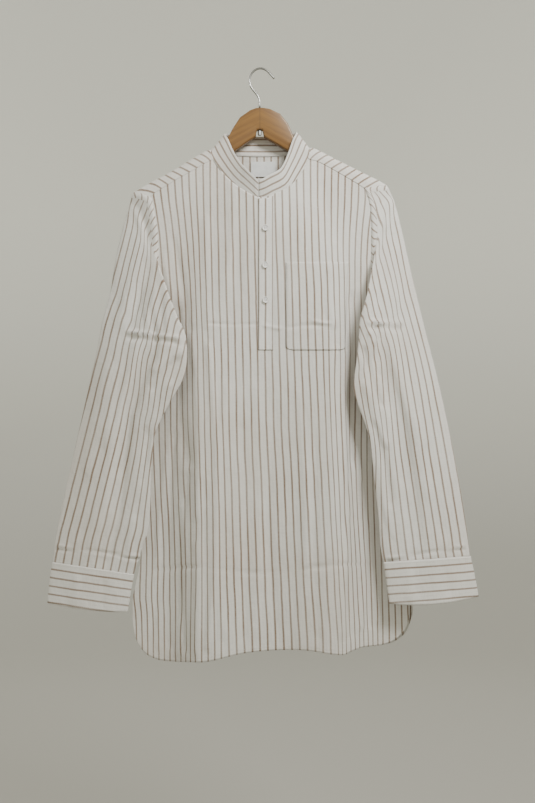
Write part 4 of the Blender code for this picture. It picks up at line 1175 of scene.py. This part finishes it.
def striped_cotton(name, pitch, lengthwise=True, tint=COTTON):
    """Handloom cotton with narrow brown stripes: down the cloth, or across it for the bands."""
    material, tree, shader = finish(name, 0.88)
    shader.inputs["Sheen Weight"].default_value = 0.12
    shader.inputs["Sheen Roughness"].default_value = 0.5
    shader.inputs["Specular IOR Level"].default_value = 0.22
    place = tree.nodes.new("ShaderNodeUVMap")
    place.uv_map = "cloth"
    cut = node(tree, "ShaderNodeSeparateXYZ", Vector=place.outputs[0])
    across = cut.outputs[0] if lengthwise else cut.outputs[1]
    along = cut.outputs[1] if lengthwise else cut.outputs[0]
    where = node(tree, "ShaderNodeCombineXYZ", X=across, Y=along).outputs[0]
    # the stripes wander a little, and each is a few dyed threads that come and go
    wander = noise(tree, where, 30.0, 2.0, 0.5, (1.0, 0.5, 1.0))
    moved = sum_of(tree, "MULTIPLY_ADD", sum_of(tree, "SUBTRACT", wander, 0.5),
                   STRIPE_WANDER, across)
    turns = sum_of(tree, "ADD", sum_of(tree, "DIVIDE", moved, pitch * MM), 0.5)
    off = sum_of(tree, "ABSOLUTE", sum_of(tree, "SUBTRACT", sum_of(tree, "FRACT", turns, 0.0), 0.5), 0.0)
    away = sum_of(tree, "MULTIPLY", off, pitch)
    line = ramp(tree, away, STRIPE_WIDE * STRIPE_CORE, STRIPE_WIDE * STRIPE_EDGE, 1.0, 0.0)
    broken = noise(tree, where, 900.0, 2.0, 0.6, (0.5, 1.0, 1.0))
    uneven = noise(tree, where, 14.0, 2.0, 0.5, (1.0, 0.6, 1.0))
    strength = sum_of(tree, "MULTIPLY", ramp(tree, broken, 0.3, 0.6, 0.72, 1.0),
                      ramp(tree, uneven, 0.3, 0.7, 0.75, 1.0))
    dyed = sum_of(tree, "MULTIPLY", line, strength)
    # a faint second line beside the main one
    beside = ramp(tree, sum_of(tree, "ABSOLUTE", sum_of(tree, "SUBTRACT", away, pitch * 0.5), 0.0),
                  0.25, 0.8, 0.10, 0.0)
    # slubs of both threads, and tone that changes slowly over the cloth
    weft = noise(tree, where, 1.0, 3.0, 0.65, (60.0, 1100.0, 1.0))
    warp = noise(tree, where, 1.0, 3.0, 0.65, (1300.0, 45.0, 1.0))
    body = node(tree, "ShaderNodeTexCoord").outputs["Object"]
    tone = noise(tree, body, 5.5, 3.0, 0.55)
    base = blend(tree, ramp(tree, tone, 0.35, 0.68), tint, COTTON_WARM)
    shade = sum_of(tree, "MULTIPLY", ramp(tree, weft, 0.25, 0.75, 0.93, 1.03),
                   ramp(tree, warp, 0.25, 0.75, 0.95, 1.03))
    grey = node(tree, "ShaderNodeCombineColor", Red=shade, Green=shade, Blue=shade).outputs[0]
    base = blend(tree, 1.0, base, grey, "MULTIPLY")
    base = blend(tree, beside, base, STRIPE_FAINT)
    colour = blend(tree, dyed, base, STRIPE)
    tree.links.new(colour, shader.inputs["Base Color"])
    # weave, slubs and a soft crumple
    threads = sum_of(tree, "MULTIPLY",
                     sum_of(tree, "SINE", sum_of(tree, "MULTIPLY", across, math.tau / THREAD_SIZE), 0.0),
                     sum_of(tree, "SINE", sum_of(tree, "MULTIPLY", along, math.tau / THREAD_SIZE), 0.0))
    height = sum_of(tree, "ADD", sum_of(tree, "MULTIPLY", threads, 0.5),
                    sum_of(tree, "ADD", weft, warp))
    weave = node(tree, "ShaderNodeBump", Height=height, Strength=0.35, Distance=0.00022)
    crumple = noise(tree, body, 34.0, 4.0, 0.55, (1.0, 1.0, 0.55))
    fine = noise(tree, body, 120.0, 3.0, 0.6, (1.0, 1.0, 0.8))
    relief = sum_of(tree, "ADD", crumple, sum_of(tree, "MULTIPLY", fine, 0.22))
    rumple = node(tree, "ShaderNodeBump", Height=relief, Strength=0.55, Distance=0.0042,
                  Normal=weave.outputs[0])
    tree.links.new(rumple.outputs[0], shader.inputs["Normal"])
    tree.links.new(ramp(tree, warp, 0.2, 0.8, 0.82, 0.94), shader.inputs["Roughness"])
    return material


body_cotton = striped_cotton("Striped cotton body", BODY_PITCH)
sleeve_cotton = striped_cotton("Striped cotton sleeves", SLEEVE_PITCH)
cuff_cotton = striped_cotton("Striped cotton cuffs", CUFF_PITCH, lengthwise=False)
placket_cotton = striped_cotton("Striped cotton placket", BODY_PITCH, tint=COTTON_WHITE)
collar_cotton = striped_cotton("Striped cotton collar", COLLAR_PITCH, lengthwise=False)

# Front: its stripes follow the charted ones. The placket's run straight down from its middle.
front_coarse = front_grid()
front_seen = finer(front_coarse, BODY_DOWN, BODY_ACROSS)
front_flat = seen(front_seen)
front_out = facing(front_flat, 1)
front = creased(front_seen, front_flat, front_out, FRONT_CREASE)
side_count = len(SIDE_SHARES)
column_of = {place: side_count + i for i, place in enumerate(FRONT_PLACES)}
middle_column = column_of[0] * BODY_ACROSS
across = across_cloth(front_flat)
across -= across[:, middle_column: middle_column + 1]
down = -front_flat[..., 2] / MM
placket_pattern = np.stack([across, down], axis=-1)
front_count = stripe_count(front_seen, FRONT_FLOW, FRONT_STRIPES)
front_pattern = np.stack([front_count * BODY_PITCH, down], axis=-1)
front_cloth = cloth("front_cloth", front, front_pattern, CLOTH, body_cotton)
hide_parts("front")

# Back: its stripes slant where the cloth comes over the shoulder. Its hem is lifted a little
# from the middle to the right of the view.
HEM_LIFT = 5.5
HEM_LIFT_FROM = (-45.0, -10.0)
HEM_LIFT_ROWS = 24
STRIP_SLANT = 1.21
back_coarse = back_grid(front_coarse)
back_seen = finer(back_coarse, BACK_DOWN, BACK_ACROSS)
beyond = soft_step(back_seen[..., 0], *HEM_LIFT_FROM)
last_row = len(back_seen) - 1
low_rows = soft_step(np.arange(last_row + 1)[:, None], last_row + 1 - HEM_LIFT_ROWS, last_row)
back_seen[..., 1] += HEM_LIFT * beyond * low_rows
back_flat = seen(back_seen)
back_out = facing(back_flat, -1)
back = creased(back_seen, back_flat, back_out, BACK_CREASE)
across = across_cloth(back_flat)
centre = np.array([np.interp(0.0, row, number) for row, number in zip(back_flat[..., 0], across)])
across = across - centre[:, None]
foot_row = WRAP_STEPS * BACK_DOWN
across[:foot_row] = across[foot_row]
ridge = back_flat[np.argmax(back_flat[:foot_row, :, 2], axis=0), np.arange(back_flat.shape[1])]
before = back_flat[: foot_row, :, 1] < ridge[:, 1]
strip_x = back_flat[:foot_row, :, 0]
ridge_order = np.argsort(ridge[:, 0])
ridge_z = np.interp(strip_x, ridge[ridge_order, 0], ridge[ridge_order, 2])
ridge_across = np.interp(strip_x, ridge[ridge_order, 0], across[foot_row][ridge_order])
slant = (ridge_z - back_flat[:foot_row, :, 2]) / MM / STRIP_SLANT
on_strip = ridge_across + np.where(strip_x < EYE_X * MM, -slant, slant)
across[:foot_row] = np.where(before, on_strip, across[:foot_row])
down = -back_flat[..., 2] / MM
rise = (ridge[:, 2] - back_flat[:foot_row, :, 2]) / MM
down[:foot_row] = np.where(before, -ridge[:, 2] / MM - rise, down[:foot_row])
back_pattern = np.stack([across + BACK_PHASE, down], axis=-1)
back_cloth = cloth("back_cloth", back, back_pattern, CLOTH, body_cotton)
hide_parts("back")


def resampled(grid, real):
    """Rows moved so that the first ones cover the strip along the armhole."""
    rows = grid.shape[0]
    result = np.empty_like(grid)
    length = np.linalg.norm(np.diff(real, axis=0), axis=-1) / MM
    for c in range(grid.shape[1]):
        at = np.concatenate([[0.0], np.cumsum(length[:, c])])
        strip = np.linspace(0.0, ARMHOLE_BAND + SEAM_LAP, BAND_ROWS + 1)
        rest = np.linspace(strip[-1], at[-1], rows - BAND_ROWS)
        places = np.concatenate([strip, rest[1:]])
        for axis in range(3):
            result[:, c, axis] = np.interp(places, at, grid[:, c, axis])
    return result


def shown(out, way):
    """How much the cloth faces the front (way -1) or the back (way 1), from 0 to 1."""
    return np.clip(out[..., 1] * way * FACING_GAIN + FACING_START, 0.0, 1.0)


def whole_sleeve(name, node_name, rows, side, creases, flow):
    """A sleeve of cloth and its last ring, for the cuff. On its front the stripes follow the
    charted ones, and on its back the distance round the sleeve."""
    rings = sleeve(rows, front_coarse, back_coarse, side)
    fine = finer(rings[:, RING_ORDER], SLEEVE_DOWN, SLEEVE_ACROSS)
    fine = resampled(fine, seen(fine))
    flat = seen(fine)
    out = facing(flat, -side, closed=True)
    folded = creased(fine, flat, out * shown(out, -1)[..., None], creases, closed=True)
    folded = creased(fine, folded, out * -shown(out, 1)[..., None], creases, closed=True)
    fold = (RING_COLUMNS - UNDER_COLUMN) * SLEEVE_ACROSS
    axis = flat[-1, fold] - flat[len(flat) // 4, fold]
    axis /= np.linalg.norm(axis)
    step = np.diff(flat, axis=1) / MM
    step = step - (step @ axis)[..., None] * axis
    deep = np.abs(step[..., 1])
    level = np.hypot(step[..., 0], step[..., 2])
    count = stripe_count(fine, *flow) * SLEEVE_PITCH
    first_is_front = flat[:, :fold, 1].mean() < flat[:, fold:, 1].mean()
    front_half = slice(0, fold) if first_is_front else slice(fold, None)
    inward = -1.0 if first_is_front else 1.0
    level[:, front_half] = np.diff(count, axis=1)[:, front_half] * inward
    deep[:, : fold // 2] = 0.0
    deep[:, (fold + deep.shape[1]) // 2:] = 0.0
    span = np.where(deep > 0.0, np.maximum(level, deep), level)
    anchor = fold // 2 if first_is_front else (fold + span.shape[1]) // 2
    along = np.concatenate([np.zeros((len(flat), 1)), np.cumsum(span, axis=1)], axis=1)
    along -= along[:, fold: fold + 1]
    if first_is_front:
        along = -along
    along += even_rows((count - along)[:, anchor: anchor + 1], ANCHOR_SMOOTH)
    pattern = np.stack([along, (flat @ axis) / MM], axis=-1)
    around = walked(flat[0], 0)
    around = np.abs(around - around[np.argmax(flat[0, :, 2])])
    off = np.linalg.norm(flat - flat[0], axis=-1) / MM
    strip = np.stack([(around[None, :] - off * BAND_SLANT) * SLEEVE_PITCH / BAND_PITCH, off], axis=-1)
    piece = cloth(name, folded, pattern, CLOTH, sleeve_cotton, tube=True, top=strip)
    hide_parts(node_name)
    return piece, rings[-1], folded, out


sleeve_left_cloth, wrist_left, sleeve_l, sleeve_l_out = whole_sleeve(
    "sleeve_left_cloth", "sleeve_left", SLEEVE_L, -1, SLEEVE_L_CREASE, (LEFT_FLOW, LEFT_STRIPES))
sleeve_right_cloth, wrist_right, sleeve_r, sleeve_r_out = whole_sleeve(
    "sleeve_right_cloth", "sleeve_right", SLEEVE_R, 1, SLEEVE_R_CREASE, (RIGHT_FLOW, RIGHT_STRIPES))


def whole_cuff(name, node_name, rows, last, side, phase):
    """A cuff: a doubled band with its stripes round the wrist."""
    fine = finer(cuff(rows, last)[:, RING_ORDER], CUFF_DOWN, SLEEVE_ACROSS)
    flat = seen(fine)
    out = facing(flat, -side, closed=True)
    flat = flat + out * BAND_RISE * MM
    folded = creased(fine, flat, out, BAND_CREASE, closed=True)
    pattern = np.stack([walked(flat, 1), walked(flat, 0) + phase], axis=-1)
    piece = cloth(name, folded, pattern, BAND_CLOTH, cuff_cotton, tube=True)
    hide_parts(node_name)
    return piece, folded, out


cuff_left_cloth, cuff_l, cuff_l_out = whole_cuff(
    "cuff_left_cloth", "cuff_left", CUFF_L, wrist_left, -1, CUFF_L_PHASE)
cuff_right_cloth, cuff_r, cuff_r_out = whole_cuff(
    "cuff_right_cloth", "cuff_right", CUFF_R, wrist_right, 1, CUFF_R_PHASE)

# Collar: its seam edge follows the neck points of the front and of the back.
start = column_of[PLACKET_PLACES[0]]
front_points = seen(front_coarse)
back_points = seen(back_coarse)
left_neck = [front_points[0, c] for c in range(start, column_of[NECK_LEFT] - 1, -1)]
neck_columns = np.flatnonzero(BACK_RIDGE["turn"] < 1)
back_neck = [back_points[0, c] for c in range(neck_columns[0], neck_columns[-1] + 1)]
right_neck = [front_points[0, c] for c in range(column_of[NECK_RIGHT], start - 1, -1)]
neck = np.array(left_neck + back_neck + right_neck)
rim = seen(np.stack([COLLAR_TOP["at_x"], COLLAR_TOP["at_z"], COLLAR_TOP["depth"]], axis=-1))
up = rim - neck
up /= np.linalg.norm(up, axis=1, keepdims=True)
neck = neck - up * SEAM_LAP * MM
neck[-1, 0] += MM
collar_rows = np.array([rim + (neck - rim) * t for t in COLLAR_SHARES])
collar_flat = finer(collar_rows, COLLAR_DOWN, COLLAR_ACROSS)
collar_out = facing(collar_flat, 1)
collar = collar_flat + collar_out * BAND_RISE * MM
collar_pattern = np.stack([walked(collar, 1), walked(collar, 0) + COLLAR_PHASE], axis=-1)
collar_cloth = cloth("collar_cloth", collar, collar_pattern, BAND_CLOTH, collar_cotton)
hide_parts("collar")


def patch(name, node_name, rows, columns, pattern, material, corners=False):
    """A piece that is sewn on the front: the front's own points, moved out."""
    points = (front + front_out * PATCH_RISE * MM)[rows][:, columns].copy()
    pattern = pattern[rows][:, columns]
    if corners:
        reach = POCKET_REACH
        wide = points.shape[1] - 1
        for side in (0, -1):
            inner = points[:, reach if side == 0 else wide - reach].copy()
            for r in range(reach + 1):
                share = r / reach
                pull = 1.0 - math.sqrt(max(0.0, 1.0 - share ** 2))
                row = len(points) - 1 - reach + r
                for c in range(reach + 1):
                    column = c if side == 0 else wide - c
                    move = pull * (1.0 - c / reach)
                    points[row, column] += (inner[row] - points[row, column]) * move
    piece = cloth(name, points, pattern, PATCH_CLOTH, material)
    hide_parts(node_name)
    return piece, points


# Pocket: how many rows and columns its round corners take, its right edge, and its hem's seam.
POCKET_REACH = 4
POCKET_HEM_ROW = 8
POCKET_RIGHT_X = 134.2
top_row = TOP_ROWS * BODY_DOWN
foot_row = (TOP_ROWS + POCKET_FOOT) * BODY_DOWN
columns = slice(column_of[PLACKET_PLACES[0]] * BODY_ACROSS, column_of[PLACKET_PLACES[-1]] * BODY_ACROSS + 1)
placket_cloth, placket = patch("placket_cloth", "placket", slice(1, foot_row + 1), columns,
                                placket_pattern, placket_cotton)
placket_out = front_out[1: foot_row + 1, columns]
middle_row = (top_row + foot_row) // 2
pocket_end = int(np.searchsorted(front_seen[middle_row, :, 0], POCKET_RIGHT_X)) + 1
pocket_end = min(pocket_end, column_of[POCKET_PLACES[-1]] * BODY_ACROSS + 1)
columns = slice(column_of[POCKET_PLACES[0]] * BODY_ACROSS, pocket_end)
pocket_cloth, pocket = patch("pocket_cloth", "pocket", slice(top_row, foot_row + 1), columns,
                              front_pattern, body_cotton, corners=True)
pocket_out = front_out[top_row: foot_row + 1, columns]


def thread_lines(name, lines, material):
    """Stitches along lines: each line is its points, its outward directions and its rise."""
    shape = bmesh.new()
    for points, out, rise in lines:
        step = np.linalg.norm(np.diff(points, axis=0), axis=-1)
        at = np.concatenate([[0.0], np.cumsum(step)])
        count = max(1, int(at[-1] / ((STITCH_LONG + STITCH_GAP) * MM)))
        for k in range(count):
            spot = (k + 0.5) * at[-1] / count
            place = np.array([np.interp(spot, at, points[:, i]) for i in range(3)])
            ahead = np.array([np.interp(min(spot + MM, at[-1]), at, points[:, i]) for i in range(3)])
            behind = np.array([np.interp(max(spot - MM, 0.0), at, points[:, i]) for i in range(3)])
            up = np.array([np.interp(spot, at, out[:, i]) for i in range(3)])
            way = (ahead - behind) / np.linalg.norm(ahead - behind)
            beside = np.cross(way, up)
            beside /= np.linalg.norm(beside)
            up = np.cross(beside, way)
            place = place + up * rise * MM
            turn = Matrix((way * STITCH_LONG / 2 * MM, beside * STITCH_THICK / 2 * MM,
                           up * STITCH_THICK / 2 * MM)).transposed().to_4x4()
            bmesh.ops.create_icosphere(shape, subdivisions=1, radius=1.0,
                                       matrix=Matrix.Translation(Vector(place)) @ turn)
    return make_piece(name, shape, material)


THREAD_LIGHT = (0.70, 0.68, 0.63, 1.0)
THREAD_DARK = (0.58, 0.55, 0.49, 1.0)
thread, tree, shader = finish("Sewing thread", 0.6)
body = node(tree, "ShaderNodeTexCoord").outputs["Object"]
feed(tree, shader.inputs["Base Color"],
     blend(tree, ramp(tree, noise(tree, body, 700.0), 0.3, 0.7), THREAD_LIGHT, THREAD_DARK))

half_cloth = CLOTH / 2 + THREAD_UP
half_band = BAND_CLOTH / 2 + BAND_THREAD_UP
half_patch = PATCH_CLOTH / 2 + THREAD_UP
box_row = int(round(BOX_SHARE * (len(placket) - 1)))
lines = [
    (placket[:, 1], placket_out[:, 1], half_patch),
    (placket[:, -2], placket_out[:, -2], half_patch),
    (placket[-2, 1:-1], placket_out[-2, 1:-1], half_patch),
    (placket[box_row, 1:-1], placket_out[box_row, 1:-1], half_patch),
    (pocket[:-POCKET_REACH, 1], pocket_out[:-POCKET_REACH, 1], half_patch),
    (pocket[:-POCKET_REACH, -2], pocket_out[:-POCKET_REACH, -2], half_patch),
    (pocket[-2, 3:-3], pocket_out[-2, 3:-3], half_patch),
    (pocket[POCKET_HEM_ROW], pocket_out[POCKET_HEM_ROW], half_patch),
    (collar[1, 1:-1], collar_out[1, 1:-1], half_band),
    (collar[-2, 1:-1], collar_out[-2, 1:-1], half_band),
    (front[-3, 2:-2], front_out[-3, 2:-2], half_cloth),
    (back[-3, 2:-2], back_out[-3, 2:-2], half_cloth),
    (sleeve_l[BAND_ROWS], sleeve_l_out[BAND_ROWS], half_cloth),
    (sleeve_r[BAND_ROWS], sleeve_r_out[BAND_ROWS], half_cloth),
    (cuff_l[1], cuff_l_out[1], half_band),
    (cuff_l[-2], cuff_l_out[-2], half_band),
    (cuff_r[1], cuff_r_out[1], half_band),
    (cuff_r[-2], cuff_r_out[-2], half_band)]
thread_lines("stitching", lines, thread)

# Buttons: turned discs with a sunk middle, four holes and the thread that holds them.
BUTTONS = (1, 2, 3)
BUTTON_WIDE = 10.0
BUTTON_THICK = 2.2
HOLE_WIDE = 1.1
HOLE_APART = 1.15
HOLE_SIDES = 12
BUTTON_STEPS = 40
TIE_RISE = 0.42
PEARL_LIGHT = (0.95, 0.94, 0.91, 1.0)
PEARL_DARK = (0.82, 0.81, 0.80, 1.0)
pearl, tree, shader = finish("Pearl button", 0.18)
shader.inputs["Coat Weight"].default_value = 0.6
shader.inputs["Coat Roughness"].default_value = 0.08
body = node(tree, "ShaderNodeTexCoord").outputs["Object"]
cloud = noise(tree, body, 160.0, 3.0, 0.6, (1.0, 1.0, 2.4))
feed(tree, shader.inputs["Base Color"], blend(tree, ramp(tree, cloud, 0.3, 0.7), PEARL_LIGHT, PEARL_DARK))


def placket_near(x, z):
    """Number of the placket's point nearest to a place."""
    return np.argmin(np.linalg.norm(placket[..., [0, 2]] - (x, z), axis=-1))


def button(number):
    """A button where its node is, with its face turned out from the placket. Gives its ties."""
    low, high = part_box("button_%d" % number)
    centre = (Vector(low) + Vector(high)) / 2
    up = Vector(placket_out.reshape(-1, 3)[placket_near(centre.x, centre.z)])
    level = up.to_track_quat("Z", "Y").to_matrix().to_4x4()
    half = BUTTON_WIDE / 2
    profile = ((0.0, -0.5), (half - 0.7, -0.5), (half - 0.15, -0.2), (half, 0.15), (half - 0.2, 0.45),
               (half - 0.7, 0.5), (half - 1.3, 0.32), (half - 1.7, 0.12), (0.0, 0.06))
    profile = [(r * MM, z * BUTTON_THICK * MM) for r, z in profile]
    shape = spun(profile, BUTTON_STEPS, JOIN)
    piece = make_piece("button_%d_pearl" % number, shape, pearl)
    cutter = bmesh.new()
    for x in (-HOLE_APART, HOLE_APART):
        for z in (-HOLE_APART, HOLE_APART):
            bmesh.ops.create_cone(cutter, cap_ends=True, segments=HOLE_SIDES, radius1=HOLE_WIDE / 2 * MM,
                                  radius2=HOLE_WIDE / 2 * MM, depth=2 * BUTTON_THICK * MM,
                                  matrix=Matrix.Translation((x * MM, z * MM, 0.0)))
    mesh = bpy.data.meshes.new("holes")
    cutter.to_mesh(mesh)
    cutter.free()
    holes = new_object("holes", mesh)
    cut = piece.modifiers.new("Holes", "BOOLEAN")
    cut.operation = "DIFFERENCE"
    cut.solver = "EXACT"
    cut.object = holes
    made = in_order(final_mesh(piece), pearl)
    piece.modifiers.clear()
    piece.data = made
    bpy.data.objects.remove(holes)
    made.set_sharp_from_angle(angle=math.radians(40))
    place = Matrix.Translation(centre) @ level
    made.transform(place)
    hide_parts("button_%d" % number)
    ends = []
    for x in (-HOLE_APART, HOLE_APART):
        points = [place @ Vector((x * MM, z * MM, TIE_RISE * MM)) for z in (-HOLE_APART, 0.0, HOLE_APART)]
        ends.append((np.array(points), np.array([up] * 3), 0.0))
    return ends


ties = []
for number in BUTTONS:
    ties += button(number)
thread_lines("button_threads", ties, thread)

# Buttonholes: two rows of stitches, one to either side of each button's middle.
BUTTONHOLE = 13.0
BUTTONHOLE_HALF = 0.7
BUTTONHOLE_POINTS = 9
holes = []
for number in BUTTONS:
    low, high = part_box("button_%d" % number)
    middle = (np.array(low) + np.array(high)) / 2
    for beside in (-BUTTONHOLE_HALF, BUTTONHOLE_HALF):
        spots = []
        outs = []
        for t in np.linspace(-0.5, 0.5, BUTTONHOLE_POINTS):
            near = placket_near(middle[0], middle[2] + t * BUTTONHOLE * MM)
            spot = placket.reshape(-1, 3)[near].copy()
            spot[0] = middle[0] + beside * MM
            spots.append(spot)
            outs.append(placket_out.reshape(-1, 3)[near])
        holes.append((np.array(spots), np.array(outs), half_patch))
thread_lines("buttonholes", holes, thread)

# Hanger: varnished wood with its grain along each arm and the joint between the two halves.
ARM_SLOPE = math.radians(28)
JOINT_X = 0.7
WOOD_LIGHT = (0.245, 0.122, 0.029, 1.0)
WOOD_DARK = (0.168, 0.077, 0.017, 1.0)
WOOD_PORE = (0.10, 0.045, 0.014, 1.0)
WOOD_JOINT = (0.05, 0.03, 0.015, 1.0)
WOOD_EDGE = math.radians(32)
wood, tree, shader = finish("Varnished wood", 0.4)
shader.inputs["Coat Weight"].default_value = 0.35
shader.inputs["Coat Roughness"].default_value = 0.22
body = node(tree, "ShaderNodeTexCoord").outputs["Object"]
cut = node(tree, "ShaderNodeSeparateXYZ", Vector=body)
aside = sum_of(tree, "ABSOLUTE", sum_of(tree, "SUBTRACT", cut.outputs[0], JOINT_X * MM), 0.0)
along = sum_of(tree, "SUBTRACT", sum_of(tree, "MULTIPLY", aside, math.cos(ARM_SLOPE)),
               sum_of(tree, "MULTIPLY", cut.outputs[2], math.sin(ARM_SLOPE)))
over = sum_of(tree, "ADD", sum_of(tree, "MULTIPLY", aside, math.sin(ARM_SLOPE)),
              sum_of(tree, "MULTIPLY", cut.outputs[2], math.cos(ARM_SLOPE)))
grain_place = node(tree, "ShaderNodeCombineXYZ", X=along, Y=over, Z=cut.outputs[1]).outputs[0]
rings = noise(tree, grain_place, 1.0, 4.0, 0.6, (9.0, 190.0, 190.0))
pores = noise(tree, grain_place, 1.0, 3.0, 0.7, (60.0, 1500.0, 1500.0))
colour = blend(tree, ramp(tree, rings, 0.3, 0.7), WOOD_LIGHT, WOOD_DARK)
colour = blend(tree, ramp(tree, pores, 0.52, 0.72, 0.0, 0.35), colour, WOOD_PORE)
joint = ramp(tree, aside, 0.15 * MM, 0.6 * MM, 0.75, 0.0)
colour = blend(tree, joint, colour, WOOD_JOINT)
tree.links.new(colour, shader.inputs["Base Color"])
relief = sum_of(tree, "ADD", pores, rings)
worn = node(tree, "ShaderNodeBump", Height=relief, Strength=0.12, Distance=0.0004)
tree.links.new(worn.outputs[0], shader.inputs["Normal"])
tree.links.new(ramp(tree, rings, 0.2, 0.8, 0.34, 0.5), shader.inputs["Roughness"])
shape = bmesh.new()
shape.from_mesh(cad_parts["hanger_wood"].data)
bmesh.ops.remove_doubles(shape, verts=shape.verts[:], dist=JOIN)
hanger = make_piece("hanger_varnished", shape, wood)
hanger.data.set_sharp_from_angle(angle=WOOD_EDGE)
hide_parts("hanger_wood")

# Hook: zinc plated wire, smooth along its line.
HOOK_WIRE = 3.4
ZINC_LIGHT = (0.44, 0.44, 0.42, 1.0)
ZINC_DARK = (0.26, 0.26, 0.25, 1.0)
zinc, tree, shader = finish("Zinc wire", 0.3, 1.0)
body = node(tree, "ShaderNodeTexCoord").outputs["Object"]
dull = noise(tree, body, 240.0, 4.0, 0.6)
feed(tree, shader.inputs["Base Color"], blend(tree, ramp(tree, dull, 0.3, 0.7), ZINC_LIGHT, ZINC_DARK))
tree.links.new(ramp(tree, dull, 0.25, 0.75, 0.22, 0.42), shader.inputs["Roughness"])
line = seen(np.stack([HOOK["at_x"], HOOK["at_z"], np.zeros(len(HOOK["at_x"]))], axis=-1))
curve = bpy.data.curves.new("hook_wire", "CURVE")
curve.dimensions = "3D"
wire = curve.splines.new("NURBS")
wire.points.add(len(line) - 1)
for point, place in zip(wire.points, line):
    point.co = (*place, 1.0)
wire.use_endpoint_u = True
wire.order_u = 4
wire.resolution_u = 10
curve.bevel_depth = HOOK_WIRE / 2.0 * MM
curve.bevel_resolution = 6
curve.use_fill_caps = True
bent = new_object("bent", curve)
mesh = final_mesh(bent)
bpy.data.objects.remove(bent)
shape = bmesh.new()
shape.from_mesh(mesh)
bmesh.ops.remove_doubles(shape, verts=shape.verts[:], dist=JOIN)
hook = make_piece("hook_wire", shape, zinc)
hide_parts("hook")
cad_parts["hook_nut"].material_slots[0].material = zinc

# Label: a plain woven tape, bare.
TAPE_LIGHT = (0.80, 0.81, 0.80, 1.0)
TAPE_DARK = (0.72, 0.73, 0.72, 1.0)
TAPE_RIB = 0.0009
tape, tree, shader = finish("Label tape", 0.6)
body = node(tree, "ShaderNodeTexCoord").outputs["Object"]
cut = node(tree, "ShaderNodeSeparateXYZ", Vector=body)
ribs = sum_of(tree, "SINE", sum_of(tree, "MULTIPLY", cut.outputs[2], math.tau / TAPE_RIB), 0.0)
feed(tree, shader.inputs["Base Color"],
     blend(tree, ramp(tree, noise(tree, body, 120.0), 0.3, 0.7), TAPE_LIGHT, TAPE_DARK))
woven = node(tree, "ShaderNodeBump", Height=ribs, Strength=0.3, Distance=0.0002)
tree.links.new(woven.outputs[0], shader.inputs["Normal"])
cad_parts["neck_label"].material_slots[0].material = tape

# Stage: a wide pale bowl with its floor far below, so that it is the same from every side.
FLOOR_Z = -1.55
BOWL_FLAT = 2.4
BOWL_WIDE = 3.6
BOWL_HIGH = 1.75
BOWL_BEND = 12
BOWL_STEPS = 96
# The bowl's colour runs from dark at the bottom to bright at the top: painted shade below and painted light
# above, as if lit from overhead.
WALL_SHADE = (-2.1, 0.6)
WALL_PAINTED_SHADE = (0.25, 0.237, 0.195, 1.0)
WALL_PAINTED_LIGHT = (0.97, 0.97, 0.895, 1.0)
# The bowl glows faintly with this colour and strength: painted light.
WALL_GLOW = (1.0, 1.0, 0.95, 1.0)
WALL_GLOW_STRENGTH = 0.11
profile = [(0.0, FLOOR_Z), (BOWL_FLAT, FLOOR_Z)]
for k in range(1, BOWL_BEND + 1):
    angle = math.pi / 2 * k / BOWL_BEND
    profile.append((BOWL_FLAT + (BOWL_WIDE - BOWL_FLAT) * math.sin(angle),
                    FLOOR_Z + (BOWL_WIDE - BOWL_FLAT) * (1 - math.cos(angle))))
profile.append((BOWL_WIDE, BOWL_HIGH))
paint, tree, shader = finish("Pale wall with painted shade and glow", 0.9)
body = node(tree, "ShaderNodeTexCoord").outputs["Object"]
cut = node(tree, "ShaderNodeSeparateXYZ", Vector=body)
# painted shade towards the bottom of the bowl, painted light towards its top
feed(tree, shader.inputs["Base Color"],
     blend(tree, ramp(tree, cut.outputs[2], *WALL_SHADE), WALL_PAINTED_SHADE, WALL_PAINTED_LIGHT))
# a faint glow of painted light on the bowl
shader.inputs["Emission Color"].default_value = WALL_GLOW
shader.inputs["Emission Strength"].default_value = WALL_GLOW_STRENGTH
mesh = smooth_mesh("pale_bowl", spun(profile, BOWL_STEPS, JOIN_WIDE), paint)
bowl = new_object("pale_bowl", mesh)

CENTRE = Vector((EYE_X * MM, -0.03, -0.48))
ROOM_LIGHT = (0.98, 0.96, 0.83, 1.0)
ROOM_STRENGTH = 0.46
SENSOR = 36.0


def lamp(name, place, size, power, colour=(1.0, 0.98, 0.94)):
    """A soft square lamp that points at the garment's middle."""
    light = bpy.data.lights.new(name, "AREA")
    light.shape = "SQUARE"
    light.size = size
    light.energy = power
    light.color = colour
    item = new_object(name, light)
    item.location = place
    item.rotation_euler = (CENTRE - Vector(place)).to_track_quat("-Z", "Y").to_euler()


lamp("key", (0.75, -1.0, 0.65), 0.5, 29.5, (1.0, 0.995, 0.97))
lamp("fill", (-1.6, -2.0, 0.7), 1.8, 8.0, (0.97, 0.98, 1.0))
lamp("back_right", (-1.5, 2.0, 0.9), 1.6, 26.0)
lamp("back_left", (1.5, 2.0, 0.4), 1.6, 14.0)

world = bpy.data.worlds.new("Soft room")
world.use_nodes = True
sky = world.node_tree.nodes["Background"]
sky.inputs["Color"].default_value = ROOM_LIGHT
sky.inputs["Strength"].default_value = ROOM_STRENGTH
bpy.context.scene.world = world

camera_data = bpy.data.cameras.new("camera")
camera_data.sensor_width = SENSOR
camera_data.lens = SENSOR / 2 / (FRAME_HEIGHT / 2 / ((SEEN_PLANE - EYE_Y) * MM))
camera = new_object("camera", camera_data)
camera.location = (EYE_X * MM, EYE_Y * MM, EYE_Z * MM)
camera.rotation_euler = (math.pi / 2, 0.0, 0.0)
bpy.context.scene.camera = camera
